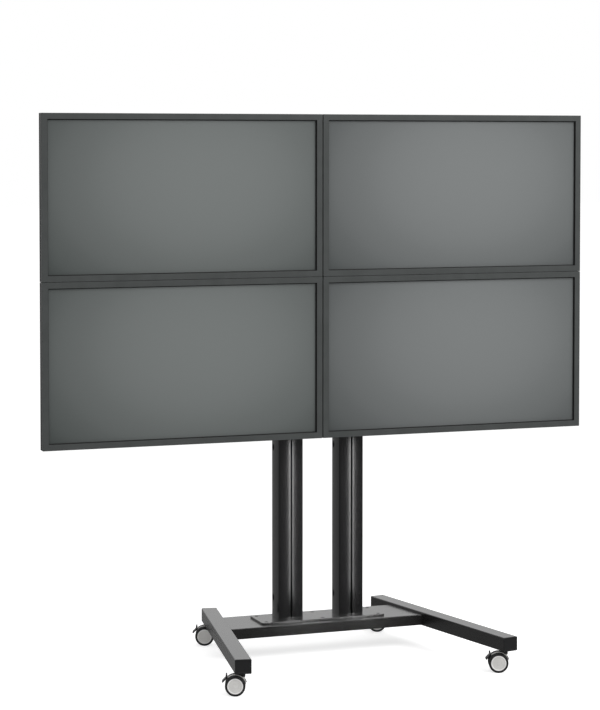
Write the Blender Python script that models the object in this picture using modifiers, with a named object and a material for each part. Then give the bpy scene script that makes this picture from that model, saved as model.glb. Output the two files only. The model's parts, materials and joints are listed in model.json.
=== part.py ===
"""Mobile video wall stand: four displays in two rows, on twin columns and a splayed base with casters.

Metres, +Z up. +X is to the right of someone facing the screens, and +Y is behind them.
The origin is on the floor, below the middle of the whole object.
"""

import math

import bmesh
import bpy
from mathutils import Matrix, Vector

MM = 0.001
GAP = 0.3 * MM  # left between pieces that touch on the real object

# Displays: outer size of one, the strips left between two, and the height of the lowest edge
DISPLAY_WIDTH = 1063 * MM
DISPLAY_HEIGHT = 600 * MM
DISPLAY_DEPTH = 40 * MM
UPRIGHT_SEAM = 3 * MM
LEVEL_SEAM = 1 * MM
WALL_BOTTOM = 816 * MM
BEZEL_WIDTH = 22 * MM
BEZEL_LIP = 10 * MM  # how far the screen lies behind the bezel's face
BEZEL_DEPTH = 18 * MM
BEZEL_WALL = 3 * MM
BEZEL_EDGE = 1.2 * MM
SCREEN_THICKNESS = 7 * MM
COVER_WALL = 4 * MM
COVER_BACK = 3 * MM
COVER_CHAMFER = 4 * MM

# The columns stand here, and the displays hang a little to the left of their middle
STAND_X = 22 * MM
COLUMN_Y = 182.4 * MM
COLUMN_SPACING = 242 * MM
COLUMN_LENGTH = 1850 * MM
COLUMN_HALF_SIZE = (48 * MM, 40 * MM)  # across and deep, before the faces' bulge
COLUMN_CORNER_RADIUS = 5 * MM
COLUMN_BULGE = 2 * MM  # how far each face swells past the corners
COLUMN_FRONT = COLUMN_HALF_SIZE[1] + COLUMN_BULGE
COLUMN_WALL = 3.5 * MM
COLUMN_CAP_THICKNESS = 4 * MM
COLUMN_CAP_PLUG = 56 * MM
COLUMN_CAP_PLUG_DEPTH = 10 * MM
SLOT_MOUTH = 8.2 * MM
SLOT_LIP = 3 * MM
SLOT_CHANNEL_WIDTH = 16 * MM
SLOT_CHANNEL_DEPTH = 7 * MM
SLOT_WALL = 2.5 * MM
CABLE_HOLE_RADIUS = 12 * MM
CABLE_HOLE_BACK = 20 * MM  # behind the middle of the section
CABLE_HOLE_HEIGHTS = (206 * MM, 773 * MM)

# Base
LEG_LENGTH = 888 * MM
LEG_WIDTH = 58 * MM
LEG_HEIGHT = 51 * MM
LEG_TOP = 133 * MM
LEG_WALL = 2.5 * MM
LEG_CORNER_RADIUS = 3 * MM
LEG_SPLAY = math.radians(10.5)
LEG_SPACING_AT_COLUMNS = 789 * MM
LEG_CAP_THICKNESS = 4 * MM
LEG_CAP_PLUG_DEPTH = 14 * MM
CROSS_TOP = 124 * MM
CROSS_HEIGHT = 40 * MM
CROSS_FRONT = 104 * MM  # ahead of the columns' middle
CROSS_BACK = 110 * MM
CROSS_WALL = 3 * MM
PLATE_WIDTH = 492 * MM
PLATE_DEPTH = 146 * MM
PLATE_TOP = 131 * MM
PLATE_CORNER_RADIUS = 12 * MM
PLATE_EDGE = 0.8 * MM
PLATE_HOLES_X = (-225 * MM, 0.0, 225 * MM)
PLATE_HOLES_Y = (-55 * MM, 55 * MM)
PLATE_HOLE_RADIUS = 5 * MM
PLATE_HOLE_DEPTH = 3 * MM

# Rails and what hangs on them: depths are counted forwards from the columns' middle
RAIL_LENGTH = 1660 * MM
RAIL_ABOVE_DISPLAY_MIDDLE = 120 * MM
RAIL_HEIGHT = 80 * MM
RAIL_FLANGE = 12 * MM
RAIL_SHELF = 4 * MM
RAIL_BACK_AT = (52.6 * MM, 55.6 * MM)
RAIL_FLANGE_AT = (59.6 * MM, 62.6 * MM)
CLAMP_SIZE = (110 * MM, 110 * MM)
CLAMP_AT = (42.3 * MM, 52.3 * MM)
CLAMP_KEY_HEIGHT = 60 * MM
CLAMP_KEY_PLAY = 0.4 * MM
DISPLAY_BACK_AT = 74 * MM
ARM_SPACING = 400 * MM
ARM_WIDTH = 34 * MM
ARM_LENGTH = 440 * MM
ARM_WALL = 2.5 * MM
ARM_AT = (63.0 * MM, 73.7 * MM)
HOOK_TOOTH_AT = (56.0 * MM, 59.2 * MM)
HOOK_TOOTH_LENGTH = 9 * MM
HOOK_BAR_HEIGHT = 5 * MM
HOOK_PLAY = 0.6 * MM

# Casters: twin wheels that trail to the left of their stems, turned a little on their swivels
CASTER_FROM_LEG_END = 40 * MM
CASTER_TURN = math.radians(-20)
CASTER_TRAIL = 22 * MM
WHEEL_RADIUS = 36 * MM
WHEEL_SEGMENTS = 24
WHEEL_INNER_FACE = 6.2 * MM  # from the caster's middle plane
WHEEL_OUTER_FACE = 27 * MM
WHEEL_BORE_RADIUS = 4.35 * MM
HUB_RADIUS = 28 * MM
AXLE_RADIUS = 4 * MM
AXLE_HALF_LENGTH = 24 * MM
WEB_RADIUS = 32.5 * MM
WEB_HALF_THICKNESS = 5 * MM
SPINE_HALF_THICKNESS = 4.4 * MM
SPINE_DRAWN_IN = math.radians(1)
WHEEL_SPACE_RADIUS = 36.7 * MM
HOOD_RADII = (37.2 * MM, 38.8 * MM)
HOOD_HALF_WIDTH = 16 * MM
HOOD_ANGLES = (math.radians(12), math.radians(131))
FIN_RADIUS = 41 * MM
FIN_HALF_THICKNESS = 2.5 * MM
FIN_DRAWN_IN = math.radians(2.5)
BOSS_RADIUS = 12 * MM
BOSS_TOP = 74.4 * MM
BOSS_BORE_DEPTH = 5 * MM
STEM_RADIUS = 5 * MM
STEM_HOLE_RADIUS = 5.4 * MM
STEM_COLLAR_RADIUS = 13 * MM
STEM_COLLAR_BOTTOM = 74.8 * MM
STEM_COLLAR_PLAY = 0.8 * MM
STEM_TOP = 98 * MM
STEM_NUT_RADIUS = 9 * MM
STEM_NUT_HEIGHT = 8 * MM
PEDAL_PIVOT = (-30 * MM, 27.5 * MM)  # from the axle, to the right and up
PEDAL_LOWER_TIP = (-45.5 * MM, 11.5 * MM)
PEDAL_UPPER_TIP = (-31 * MM, 39.5 * MM)
PEDAL_THICKNESS = 3.8 * MM
PEDAL_HUB_RADIUS = 3.4 * MM
PEDAL_HALF_WIDTH = 15 * MM
PEDAL_SLOT_RADIUS = 7 * MM
PEDAL_PIN_RADIUS = 1.5 * MM
EAR_RADIUS = 4.6 * MM
EAR_HOLE_RADIUS = 1.9 * MM

AXLE_HEIGHT = WHEEL_RADIUS * math.cos(math.pi / WHEEL_SEGMENTS)  # a flat of the faceted tyre rests on the floor
LEG_SPACING_AT_ORIGIN = LEG_SPACING_AT_COLUMNS + 2 * COLUMN_Y * math.tan(LEG_SPLAY)
SIDES = {"left": -1, "right": 1}
ROWS = {"lower": 0, "upper": 1}
ROUND_STEPS = 20
SMOOTH_ANGLE = math.radians(35)


# Scene, materials and objects

def clear_scene():
    for obj in list(bpy.data.objects):
        bpy.data.objects.remove(obj)


def new_collection(name):
    collection = bpy.data.collections.new(name)
    bpy.context.scene.collection.children.link(collection)
    return collection


def new_finish(name, colour, roughness, metallic=0.0):
    """A Principled material."""
    material = bpy.data.materials.new(name)
    material.use_nodes = True
    shader = material.node_tree.nodes["Principled BSDF"]
    shader.inputs["Base Color"].default_value = (*colour, 1.0)
    shader.inputs["Roughness"].default_value = roughness
    shader.inputs["Metallic"].default_value = metallic
    return material


def add_part(name, mesh, material, location=(0, 0, 0), turn=0.0, parent=None):
    """An object that shows this mesh. Its origin is at location, in its parent's frame, turned about Z."""
    mesh.materials.clear()
    mesh.materials.append(material)
    mesh.shade_smooth()
    mesh.set_sharp_from_angle(angle=SMOOTH_ANGLE)
    obj = bpy.data.objects.new(name, mesh)
    obj.location = location
    obj.rotation_euler.z = turn
    obj.parent = parent
    parts.objects.link(obj)
    return obj


def add_pivot(name, location, turn=0.0, parent=None):
    """An empty that carries the pieces of one moving group."""
    pivot = bpy.data.objects.new(name, None)
    pivot.location = location
    pivot.rotation_euler.z = turn
    pivot.parent = parent
    parts.objects.link(pivot)
    return pivot


# Meshes

def mesh_of(name, bm):
    bmesh.ops.recalc_face_normals(bm, faces=bm.faces)
    mesh = bpy.data.meshes.new(name)
    bm.to_mesh(mesh)
    bm.free()
    return mesh


def box(name, low, high):
    bm = bmesh.new()
    size = Vector(high) - Vector(low)
    place = Matrix.Translation((Vector(low) + Vector(high)) / 2) @ Matrix.Diagonal((*size, 1))
    bmesh.ops.create_cube(bm, size=1, matrix=place)
    return mesh_of(name, bm)


def cylinder(name, radius, start, end, segments=ROUND_STEPS):
    """A cylinder between two points."""
    start, end = Vector(start), Vector(end)
    along = end - start
    place = Matrix.Translation((start + end) / 2) @ along.to_track_quat("Z", "Y").to_matrix().to_4x4()
    bm = bmesh.new()
    bmesh.ops.create_cone(
        bm, cap_ends=True, segments=segments, radius1=radius, radius2=radius, depth=along.length, matrix=place
    )
    return mesh_of(name, bm)


def evaluated_mesh(obj):
    """The object's mesh after its modifiers, or the mesh that a curve makes, with loose caps welded."""
    bpy.context.view_layer.update()
    graph = bpy.context.evaluated_depsgraph_get()
    mesh = bpy.data.meshes.new_from_object(obj.evaluated_get(graph))
    bm = bmesh.new()
    bm.from_mesh(mesh)
    bpy.data.meshes.remove(mesh)
    bmesh.ops.remove_doubles(bm, verts=bm.verts, dist=1e-6)
    return mesh_of(obj.name, bm)


AXIS_MAPS = {  # from an outline's (u, v) and the distance along it to X, Y and Z
    "X": Matrix(((0, 0, 1, 0), (1, 0, 0, 0), (0, 1, 0, 0), (0, 0, 0, 1))),
    "Y": Matrix(((1, 0, 0, 0), (0, 0, 1, 0), (0, 1, 0, 0), (0, 0, 0, 1))),
    "Z": Matrix.Identity(4),
}


def prism(name, outlines, low, high, axis):
    """Closed outlines, the first one solid and the others holes in it, drawn out along an axis."""
    curve = bpy.data.curves.new(name, "CURVE")
    curve.dimensions = "2D"
    curve.fill_mode = "BOTH"
    curve.extrude = (high - low) / 2
    for outline in outlines:
        spline = curve.splines.new("POLY")
        spline.points.add(len(outline) - 1)
        for point, (u, v) in zip(spline.points, outline):
            point.co = (u, v, 0, 1)
        spline.use_cyclic_u = True
    obj = bpy.data.objects.new(name, curve)
    parts.objects.link(obj)
    mesh = evaluated_mesh(obj)
    bpy.data.objects.remove(obj)
    mesh.transform(AXIS_MAPS[axis] @ Matrix.Translation((0, 0, (low + high) / 2)))
    bm = bmesh.new()
    bm.from_mesh(mesh)
    bpy.data.meshes.remove(mesh)
    return mesh_of(name, bm)


def turned(name, profile, segments):
    """A profile of (radius, distance) points swept round the Y axis, with a flat at the bottom."""
    mesh = bpy.data.meshes.new(name)
    points = [(radius, 0, distance) for radius, distance in profile]
    mesh.from_pydata(points, [(i, i + 1) for i in range(len(points) - 1)], [])
    obj = bpy.data.objects.new(name, mesh)
    parts.objects.link(obj)
    screw = obj.modifiers.new("turn", "SCREW")
    screw.axis = "Z"
    screw.steps = segments
    screw.render_steps = segments
    screw.use_merge_vertices = True
    screw.merge_threshold = 1e-5
    result = evaluated_mesh(obj)
    bpy.data.objects.remove(obj)
    half_step = math.pi / segments
    result.transform(Matrix.Rotation(-math.pi / 2, 4, "X") @ Matrix.Rotation(half_step, 4, "Z"))
    return result


def shaped(name, base, steps):
    """The mesh left when others are joined to it or cut from it, in order."""
    obj = bpy.data.objects.new(name, base)
    parts.objects.link(obj)
    helpers = []
    for index, (operation, mesh) in enumerate(steps):
        helper = bpy.data.objects.new(f"{name}_step_{index}", mesh)
        helper.hide_render = True
        helper.display_type = "WIRE"
        cutters.objects.link(helper)
        helpers.append(helper)
        boolean = obj.modifiers.new(helper.name, "BOOLEAN")
        boolean.operation = operation
        boolean.object = helper
    result = evaluated_mesh(obj)
    for helper in [obj, *helpers]:
        bpy.data.objects.remove(helper)
    return result


def bevelled(mesh, width, segments, chosen):
    """Rounds the edges for which chosen(middle, direction) is true."""
    bm = bmesh.new()
    bm.from_mesh(mesh)
    edges = []
    for edge in bm.edges:
        start, end = (vert.co for vert in edge.verts)
        if edge.calc_face_angle(0) > math.radians(20) and chosen((start + end) / 2, (end - start).normalized()):
            edges.append(edge)
    bmesh.ops.bevel(bm, geom=edges, offset=width, segments=segments, profile=0.5, affect="EDGES")
    return mesh_of(mesh.name, bm)


# Outlines

def arc(centre, radius, start, end, steps):
    """Points along an arc, both ends included; angles in radians."""
    angles = [start + (end - start) * i / steps for i in range(steps + 1)]
    return [(centre[0] + radius * math.cos(a), centre[1] + radius * math.sin(a)) for a in angles]


def rounded_rectangle(width, height, radius, steps=3):
    outline = []
    for quarter in range(4):
        sign_u = (1, -1, -1, 1)[quarter]
        sign_v = (1, 1, -1, -1)[quarter]
        centre = (sign_u * (width / 2 - radius), sign_v * (height / 2 - radius))
        outline += arc(centre, radius, quarter * math.pi / 2, (quarter + 1) * math.pi / 2, steps)
    return outline


def turned_back(point, quarter):
    """A point turned by quarters of a circle about the middle."""
    u, v = point
    for _ in range(quarter % 4):
        u, v = -v, u
    return u, v


def column_outline(inset, slots):
    """The columns' section, or the same shape drawn in by inset. It may have its two slots."""
    radius = max(COLUMN_CORNER_RADIUS - inset, 0.6 * MM)
    outline = []
    for quarter in range(4):
        # One face, to the right of the middle, from its lower corner to its upper corner
        reach = COLUMN_HALF_SIZE[quarter % 2] - inset
        corner = COLUMN_HALF_SIZE[1 - quarter % 2] - COLUMN_CORNER_RADIUS
        face_radius = (corner**2 + COLUMN_BULGE**2) / (2 * COLUMN_BULGE)
        sweep = math.asin((corner - 1 * MM) / face_radius)
        face = arc((reach + COLUMN_BULGE - face_radius, 0), face_radius, -sweep, sweep, 6)
        if slots and quarter % 2 == 1:
            face = [point for point in face if abs(point[1]) > SLOT_MOUTH / 2 + 0.5 * MM]
            split = len(face) // 2
            face[split:split] = slot_outline(reach + COLUMN_BULGE)
        rounding_middle = (reach - radius, COLUMN_HALF_SIZE[1 - quarter % 2] - inset - radius)
        rounding = arc(rounding_middle, radius, math.radians(8), math.radians(82), 3)
        outline += [turned_back(point, quarter) for point in face + rounding]
    return outline


def slot_outline(face):
    """A slot with a narrow mouth, cut into a face at that distance to the right of the middle."""
    mouth = SLOT_MOUTH / 2
    channel = SLOT_CHANNEL_WIDTH / 2
    lip = face - SLOT_LIP
    floor = lip - SLOT_CHANNEL_DEPTH
    lower = [(face, -mouth), (lip, -mouth), (lip, -channel), (floor, -channel)]
    return lower + [(u, -v) for u, v in reversed(lower)]


def column_cavity():
    """The hollow inside the columns, which narrows to leave walls round the slots."""
    outline = column_outline(COLUMN_WALL, slots=False)
    wall = COLUMN_FRONT - SLOT_LIP - SLOT_CHANNEL_DEPTH - SLOT_WALL
    half = SLOT_CHANNEL_WIDTH / 2 + SLOT_WALL
    cavity = []
    for u, v in outline:
        if abs(v) > wall and abs(u) <= half:
            continue
        cavity.append((u, v))
    result = []
    for here, following in zip(cavity, cavity[1:] + cavity[:1]):
        result.append(here)
        if abs(here[1]) > wall and abs(following[1]) > wall and here[0] * following[0] < 0:
            side = math.copysign(1, here[1])
            near = math.copysign(half, here[0])
            edge = side * (COLUMN_FRONT - COLUMN_WALL - 0.05 * MM)
            result += [(near, edge), (near, side * wall), (-near, side * wall), (-near, edge)]
    return result


# Base

def make_cross_member():
    low_y = COLUMN_Y - CROSS_FRONT
    high_y = COLUMN_Y + CROSS_BACK
    bottom = CROSS_TOP - CROSS_HEIGHT
    reach = LEG_SPACING_AT_ORIGIN / 2
    body = prism(
        "cross_member",
        [
            [(low_y, bottom), (high_y, bottom), (high_y, CROSS_TOP), (low_y, CROSS_TOP)],
            [
                (low_y + CROSS_WALL, bottom + CROSS_WALL),
                (high_y - CROSS_WALL, bottom + CROSS_WALL),
                (high_y - CROSS_WALL, CROSS_TOP - CROSS_WALL),
                (low_y + CROSS_WALL, CROSS_TOP - CROSS_WALL),
            ],
        ],
        STAND_X - reach,
        STAND_X + reach,
        "X",
    )
    steps = []
    for side in SIDES.values():
        # Everything beyond the leg's inner face is cut away
        near = -side * (LEG_WIDTH / 2 + GAP)
        far = side * reach
        end = box("leg_side", (min(near, far), -LEG_LENGTH, 0), (max(near, far), LEG_LENGTH, 2 * CROSS_TOP))
        end.transform(leg_place(side))
        steps.append(("DIFFERENCE", end))
    add_part("cross_member", shaped("cross_member", body, steps), powder_coat)


def leg_place(side):
    """Where a leg's own frame lies: its middle, turned by the splay."""
    middle = (STAND_X + side * LEG_SPACING_AT_ORIGIN / 2, 0, 0)
    return Matrix.Translation(middle) @ Matrix.Rotation(side * LEG_SPLAY, 4, "Z")


def leg_mesh():
    """A rectangular tube along Y, with a hole near each end for a caster's stem."""
    half = LEG_LENGTH / 2 - LEG_CAP_THICKNESS
    outer = rounded_rectangle(LEG_WIDTH, LEG_HEIGHT, LEG_CORNER_RADIUS)
    inner = rounded_rectangle(LEG_WIDTH - 2 * LEG_WALL, LEG_HEIGHT - 2 * LEG_WALL, LEG_CORNER_RADIUS / 2)
    tube = prism("leg", [outer, inner], -half, half, "Y")
    steps = []
    for end in (-1, 1):
        y = end * (LEG_LENGTH / 2 - CASTER_FROM_LEG_END)
        hole = cylinder("stem_hole", STEM_HOLE_RADIUS, (0, y, -LEG_HEIGHT), (0, y, -LEG_HEIGHT / 4))
        steps.append(("DIFFERENCE", hole))
    return shaped("leg", tube, steps)


def leg_cap_mesh():
    """A plate that closes a leg's end, at -Y, and the plug that holds it."""
    plate = prism(
        "leg_cap",
        [rounded_rectangle(LEG_WIDTH, LEG_HEIGHT, LEG_CORNER_RADIUS)],
        -LEG_CAP_THICKNESS,
        -GAP,
        "Y",
    )
    plate = bevelled(plate, 1 * MM, 2, lambda middle, _: middle.y < -LEG_CAP_THICKNESS * 0.9)
    inner = (LEG_WIDTH - 2 * LEG_WALL - 2 * GAP, LEG_HEIGHT - 2 * LEG_WALL - 2 * GAP)
    plug = prism("plug", [rounded_rectangle(*inner, LEG_CORNER_RADIUS / 2)], -1 * MM, LEG_CAP_PLUG_DEPTH, "Y")
    return shaped("leg_cap", plate, [("UNION", plug)])


def make_legs():
    tube = leg_mesh()
    cap = leg_cap_mesh()
    for side_name, side in SIDES.items():
        middle = leg_place(side).translation
        height = LEG_TOP - LEG_HEIGHT / 2
        turn = side * LEG_SPLAY
        leg = add_part(f"{side_name}_leg", tube, powder_coat, (middle.x, middle.y, height), turn)
        shift = LEG_LENGTH / 2 - LEG_CAP_THICKNESS
        add_part(f"{side_name}_leg_cap_front", cap, cap_plastic, (0, -shift, 0), 0, leg)
        add_part(f"{side_name}_leg_cap_rear", cap, cap_plastic, (0, shift, 0), math.pi, leg)


def make_base_plate():
    plate = prism(
        "base_plate",
        [rounded_rectangle(PLATE_WIDTH, PLATE_DEPTH, PLATE_CORNER_RADIUS)],
        CROSS_TOP + GAP,
        PLATE_TOP,
        "Z",
    )
    plate = bevelled(plate, PLATE_EDGE, 1, lambda middle, _: middle.z > PLATE_TOP - GAP)
    steps = []
    for x in PLATE_HOLES_X:
        for y in PLATE_HOLES_Y:
            hole = cylinder(
                "screw_hole",
                PLATE_HOLE_RADIUS,
                (x, y, PLATE_TOP - PLATE_HOLE_DEPTH),
                (x, y, PLATE_TOP + PLATE_HOLE_DEPTH),
                12,
            )
            steps.append(("DIFFERENCE", hole))
    add_part("base_plate", shaped("base_plate", plate, steps), powder_coat, (STAND_X, COLUMN_Y, 0))


# Columns

def column_mesh():
    tube = prism("column", [column_outline(0, slots=True), column_cavity()], 0, COLUMN_LENGTH, "Z")
    steps = []
    for height in CABLE_HOLE_HEIGHTS:
        z = height - PLATE_TOP - GAP
        start = (-2 * COLUMN_FRONT, CABLE_HOLE_BACK, z)
        end = (2 * COLUMN_FRONT, CABLE_HOLE_BACK, z)
        steps.append(("DIFFERENCE", cylinder("cable_hole", CABLE_HOLE_RADIUS, start, end, 20)))
    return shaped("column", tube, steps)


def column_cap_mesh():
    plate = prism("column_cap", [column_outline(0, slots=False)], GAP, COLUMN_CAP_THICKNESS, "Z")
    plate = bevelled(plate, 1 * MM, 1, lambda middle, _: middle.z > COLUMN_CAP_THICKNESS * 0.9)
    half = COLUMN_CAP_PLUG / 2
    plug = box("plug", (-half, -half, -COLUMN_CAP_PLUG_DEPTH), (half, half, COLUMN_CAP_THICKNESS / 2))
    return shaped("column_cap", plate, [("UNION", plug)])


def make_columns():
    tube = column_mesh()
    cap = column_cap_mesh()
    for side_name, side in SIDES.items():
        x = STAND_X + side * COLUMN_SPACING / 2
        column = add_part(f"{side_name}_column", tube, column_black, (x, COLUMN_Y, PLATE_TOP + GAP))
        add_part(f"{side_name}_column_cap", cap, cap_plastic, (0, 0, COLUMN_LENGTH), 0, column)


# Rails, clamps and display arms

def rail_mesh():
    """A folded rail along X. Its origin is at its middle, in line with the columns' middle."""
    half = RAIL_HEIGHT / 2
    back_near, back_far = RAIL_BACK_AT
    flange_near, flange_far = RAIL_FLANGE_AT
    upper = [
        (-back_near, half),
        (-flange_near, half),
        (-flange_near, half + RAIL_FLANGE),
        (-flange_far, half + RAIL_FLANGE),
        (-flange_far, half - RAIL_SHELF),
        (-back_far, half - RAIL_SHELF),
    ]
    outline = upper + [(y, -z) for y, z in reversed(upper)]
    return prism("rail", [outline], -RAIL_LENGTH / 2, RAIL_LENGTH / 2, "X")


def clamp_mesh():
    """A plate behind the rail, with the key that grips the column's slot."""
    width, height = CLAMP_SIZE
    near, far = CLAMP_AT
    plate = box("clamp", (-width / 2, -far, -height / 2), (width / 2, -near, height / 2))
    plate = bevelled(plate, 6 * MM, 3, lambda _, direction: abs(direction.y) > 0.9)
    lip = COLUMN_FRONT - SLOT_LIP
    neck = SLOT_MOUTH / 2 - CLAMP_KEY_PLAY
    head = SLOT_CHANNEL_WIDTH / 2 - CLAMP_KEY_PLAY
    high = CLAMP_KEY_HEIGHT / 2
    neck_box = box("neck", (-neck, -near - 1 * MM, -high), (neck, -lip + 2 * CLAMP_KEY_PLAY + 1 * MM, high))
    head_box = box(
        "head",
        (-head, -lip + CLAMP_KEY_PLAY, -high),
        (head, -lip + SLOT_CHANNEL_DEPTH - CLAMP_KEY_PLAY, high),
    )
    return shaped("clamp", plate, [("UNION", neck_box), ("UNION", head_box)])


def arm_mesh():
    """A channel up the back of a display, with the hook that hangs on the rail. Its origin is at its middle."""
    near, far = ARM_AT
    half = ARM_WIDTH / 2
    outline = [
        (-half, -far),
        (half, -far),
        (half, -near),
        (half - ARM_WALL, -near),
        (half - ARM_WALL, -far + ARM_WALL),
        (-half + ARM_WALL, -far + ARM_WALL),
        (-half + ARM_WALL, -near),
        (-half, -near),
    ]
    channel = prism("arm", [outline], -ARM_LENGTH / 2, ARM_LENGTH / 2, "Z")
    flange_top = RAIL_ABOVE_DISPLAY_MIDDLE + RAIL_HEIGHT / 2 + RAIL_FLANGE
    bar_bottom = flange_top + HOOK_PLAY
    bar_top = bar_bottom + HOOK_BAR_HEIGHT
    tooth_near, tooth_far = HOOK_TOOTH_AT
    bar = box("bar", (-half, -far + 1 * MM, bar_bottom), (half, -tooth_near, bar_top))
    tooth = box("tooth", (-half, -tooth_far, bar_bottom - HOOK_TOOTH_LENGTH), (half, -tooth_near, bar_top))
    return shaped("arm", channel, [("UNION", bar), ("UNION", tooth)])


# Displays

def bezel_mesh():
    """A frame whose face is at Y = 0, with a pocket behind its lip for the screen."""
    half_x, half_z = DISPLAY_WIDTH / 2, DISPLAY_HEIGHT / 2
    frame = box("bezel", (-half_x, 0, -half_z), (half_x, BEZEL_DEPTH, half_z))
    frame = bevelled(frame, BEZEL_EDGE, 2, lambda middle, _: middle.y < BEZEL_EDGE)
    open_x, open_z = half_x - BEZEL_WIDTH, half_z - BEZEL_WIDTH
    opening = box("opening", (-open_x, -BEZEL_DEPTH, -open_z), (open_x, 2 * BEZEL_DEPTH, open_z))
    in_x, in_z = half_x - BEZEL_WALL, half_z - BEZEL_WALL
    pocket = box("pocket", (-in_x, BEZEL_LIP, -in_z), (in_x, 2 * BEZEL_DEPTH, in_z))
    return shaped("bezel", frame, [("DIFFERENCE", opening), ("DIFFERENCE", pocket)])


def screen_mesh():
    half_x = DISPLAY_WIDTH / 2 - BEZEL_WALL - GAP
    half_z = DISPLAY_HEIGHT / 2 - BEZEL_WALL - GAP
    return box("screen", (-half_x, BEZEL_LIP + GAP, -half_z), (half_x, BEZEL_LIP + GAP + SCREEN_THICKNESS, half_z))


def rear_cover_mesh():
    """A tray that closes the display's back, open to the front."""
    half_x, half_z = DISPLAY_WIDTH / 2, DISPLAY_HEIGHT / 2
    shell = box("rear_cover", (-half_x, BEZEL_DEPTH + GAP, -half_z), (half_x, DISPLAY_DEPTH, half_z))
    shell = bevelled(shell, COVER_CHAMFER, 1, lambda middle, _: middle.y > DISPLAY_DEPTH - GAP)
    in_x, in_z = half_x - COVER_WALL, half_z - COVER_WALL
    hollow = box("hollow", (-in_x, 0, -in_z), (in_x, DISPLAY_DEPTH - COVER_BACK, in_z))
    return shaped("rear_cover", shell, [("DIFFERENCE", hollow)])


def make_display(name, parent, x, meshes):
    """A bezel, screen, rear cover and two arms, on an empty at the middle of the display's face."""
    face = (x - parent.location.x, -DISPLAY_BACK_AT - DISPLAY_DEPTH, -RAIL_ABOVE_DISPLAY_MIDDLE)
    display = add_pivot(f"{name}_display", face, 0, parent)
    add_part(f"{name}_bezel", meshes["bezel"], bezel_grey, (0, 0, 0), 0, display)
    add_part(f"{name}_screen", meshes["screen"], screen_glass, (0, 0, 0), 0, display)
    add_part(f"{name}_rear_cover", meshes["rear_cover"], cover_black, (0, 0, 0), 0, display)
    for arm_name, side in SIDES.items():
        place = (side * ARM_SPACING / 2, DISPLAY_BACK_AT + DISPLAY_DEPTH, 0)
        add_part(f"{name}_arm_{arm_name}", meshes["arm"], arm_steel, place, 0, display)


def make_rows():
    rail = rail_mesh()
    clamp = clamp_mesh()
    meshes = {"bezel": bezel_mesh(), "screen": screen_mesh(), "rear_cover": rear_cover_mesh(), "arm": arm_mesh()}
    for row_name, row in ROWS.items():
        display_middle = WALL_BOTTOM + DISPLAY_HEIGHT / 2 + row * (DISPLAY_HEIGHT + LEVEL_SEAM)
        place = (STAND_X, COLUMN_Y, display_middle + RAIL_ABOVE_DISPLAY_MIDDLE)
        carriage = add_part(f"{row_name}_rail", rail, rail_steel, place)
        for side_name, side in SIDES.items():
            clamp_place = (side * COLUMN_SPACING / 2, 0, 0)
            add_part(f"{row_name}_rail_clamp_{side_name}", clamp, rail_steel, clamp_place, 0, carriage)
            middle_x = side * (DISPLAY_WIDTH + UPRIGHT_SEAM) / 2
            make_display(f"{row_name}_{side_name}", carriage, middle_x, meshes)


# Casters. Their meshes lie in the frame of the axle's middle

def wheel_mesh():
    """One wheel of a pair, with its outer face at -Y."""
    inner, outer, radius = WHEEL_INNER_FACE, WHEEL_OUTER_FACE, WHEEL_RADIUS
    tread = [(radius - 2.2 * MM, outer - 1.6 * MM), (radius, outer - 4 * MM), (radius, inner + 2 * MM)]
    profile = [
        (0, outer - 1.5 * MM),
        (HUB_RADIUS - 5 * MM, outer - 1.5 * MM),
        (HUB_RADIUS - 4 * MM, outer),
        (HUB_RADIUS, outer),
        (HUB_RADIUS + 1 * MM, outer - 1.2 * MM),
        *tread,
        (radius - 1.5 * MM, inner),
        (WHEEL_BORE_RADIUS, inner),
        (WHEEL_BORE_RADIUS, AXLE_HALF_LENGTH + 0.6 * MM),
        (0, AXLE_HALF_LENGTH + 0.6 * MM),
    ]
    mesh = turned("wheel", profile, WHEEL_SEGMENTS)
    mesh.transform(Matrix.Rotation(math.pi, 4, "Z"))
    return mesh


def ring_part(inner, outer, steps, drawn_in=0.0):
    """The outline of a part of a ring that reaches as far round as the hood, less an angle at each end."""
    start = HOOD_ANGLES[0] + drawn_in
    end = HOOD_ANGLES[1] - drawn_in
    return arc((0, 0), outer, start, end, steps) + arc((0, 0), inner, end, start, steps)


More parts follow.
